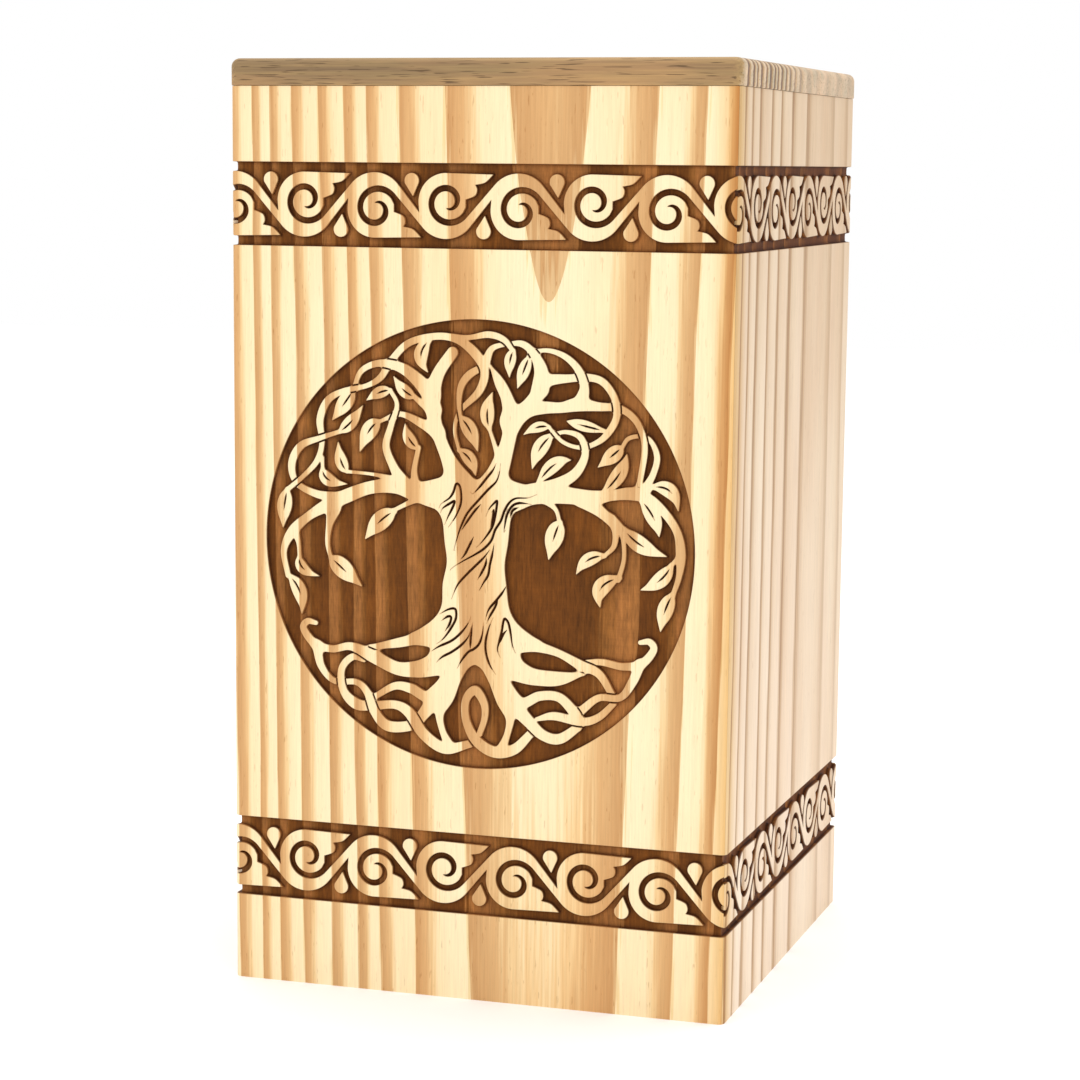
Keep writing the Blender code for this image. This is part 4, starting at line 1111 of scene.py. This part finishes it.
finishes = {name: pine(look) for name, look in boards.items()}
strip = makeBandStrip(finishes["frontBoard"])
print("scroll band laid out:", len(strip.polygons), "faces")
treeSheet = makePanelSheet()
print("tree panel carved:", len(treeSheet.polygons), "faces")
for name, look in boards.items():
    board = makeBoard(name, strip, treeSheet if name == "frontBoard" else None, -look["turn"][2])
    board.data.materials.clear()
    board.data.materials.append(finishes[name])
    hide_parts(look["node"])
    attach(board, "root")
    print(name, "built:", len(board.data.polygons), "faces")

lidBoard = makeLid()
lidBoard.data.materials.append(pine(lid["look"]))
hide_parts("lid")
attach(lidBoard, "root")
print("lid built")

# The base: the same pine, planed and left under one thin coat, its grain across the box
planedPine = pine(dict(boards["backBoard"], finish="planedPineBase", turn=(90, -90, 0), face=-9,
                       heart=18, heartDepths=[(-76, 14.0), (76, 22.0)], roughness=0.55, seed=77.0))
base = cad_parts["base_panel"]
for slot in base.material_slots:
    slot.material = planedPine


def makeFloor():
    body = bmesh.new()
    bmesh.ops.create_grid(body, x_segments=2, y_segments=2, size=3)
    mesh = bpy.data.meshes.new("floor")
    body.to_mesh(mesh)
    body.free()
    floor = place("floor", mesh)
    # white matt card: an even ground that shows only a soft shadow
    material = bpy.data.materials.new("whiteMattCard")
    material.use_nodes = True
    shader = material.node_tree.nodes["Principled BSDF"]
    shader.inputs["Base Color"].default_value = srgb("#FFFFFF")
    shader.inputs["Roughness"].default_value = 0.9
    shader.inputs["Specular IOR Level"].default_value = 0.2
    floor.data.materials.append(material)


lamps = {
    "keySoftbox": {"at": (-0.9, -1.7, 1.3), "size": 1.4, "power": 3.5},
    "sideSoftbox": {"at": (1.9, -0.5, 0.9), "size": 1.2, "power": 2},
    "topSoftbox": {"at": (0.1, 0.2, 2.2), "size": 1.6, "power": 20},
}


def makeLamps():
    for name, lamp in lamps.items():
        data = bpy.data.lights.new(name, "AREA")
        data.size = lamp["size"]
        data.energy = lamp["power"]
        piece = bpy.data.objects.new(name, data)
        bpy.context.scene.collection.objects.link(piece)
        piece.location = lamp["at"]
        aim = Vector((0, 0, 0.13)) - piece.location
        piece.rotation_euler = aim.to_track_quat("-Z", "Y").to_euler()
    world = bpy.data.worlds.new("studio")
    world.use_nodes = True
    background = world.node_tree.nodes["Background"]
    background.inputs["Color"].default_value = srgb("#FFFFFF")
    background.inputs["Strength"].default_value = 1.0
    bpy.context.scene.world = world


view = {"at": (0.2648, -0.8439, 0.2405), "towards": (-0.3042, 0.9409, -0.1490), "roll": 0.52,
        "lens": 96.1, "shift": (0.0099, 0.0553)}


def makeCamera():
    data = bpy.data.cameras.new("camera")
    data.lens = view["lens"]
    data.sensor_width = 36
    data.shift_x, data.shift_y = view["shift"]
    data.clip_start = 0.01
    camera = bpy.data.objects.new("camera", data)
    bpy.context.scene.collection.objects.link(camera)
    forward = Vector(view["towards"]).normalized()
    right = forward.cross(Vector((0, 0, 1))).normalized()
    up = right.cross(forward)
    roll = math.radians(view["roll"])
    tilted = up * math.cos(roll) - right * math.sin(roll)
    side = right * math.cos(roll) + up * math.sin(roll)
    turn = Matrix((side, tilted, -forward)).transposed().to_4x4()
    camera.matrix_world = Matrix.Translation(view["at"]) @ turn
    bpy.context.scene.camera = camera


makeFloor()
makeLamps()
makeCamera()
bpy.context.scene.view_settings.view_transform = "Standard"
print("room, light and camera set")
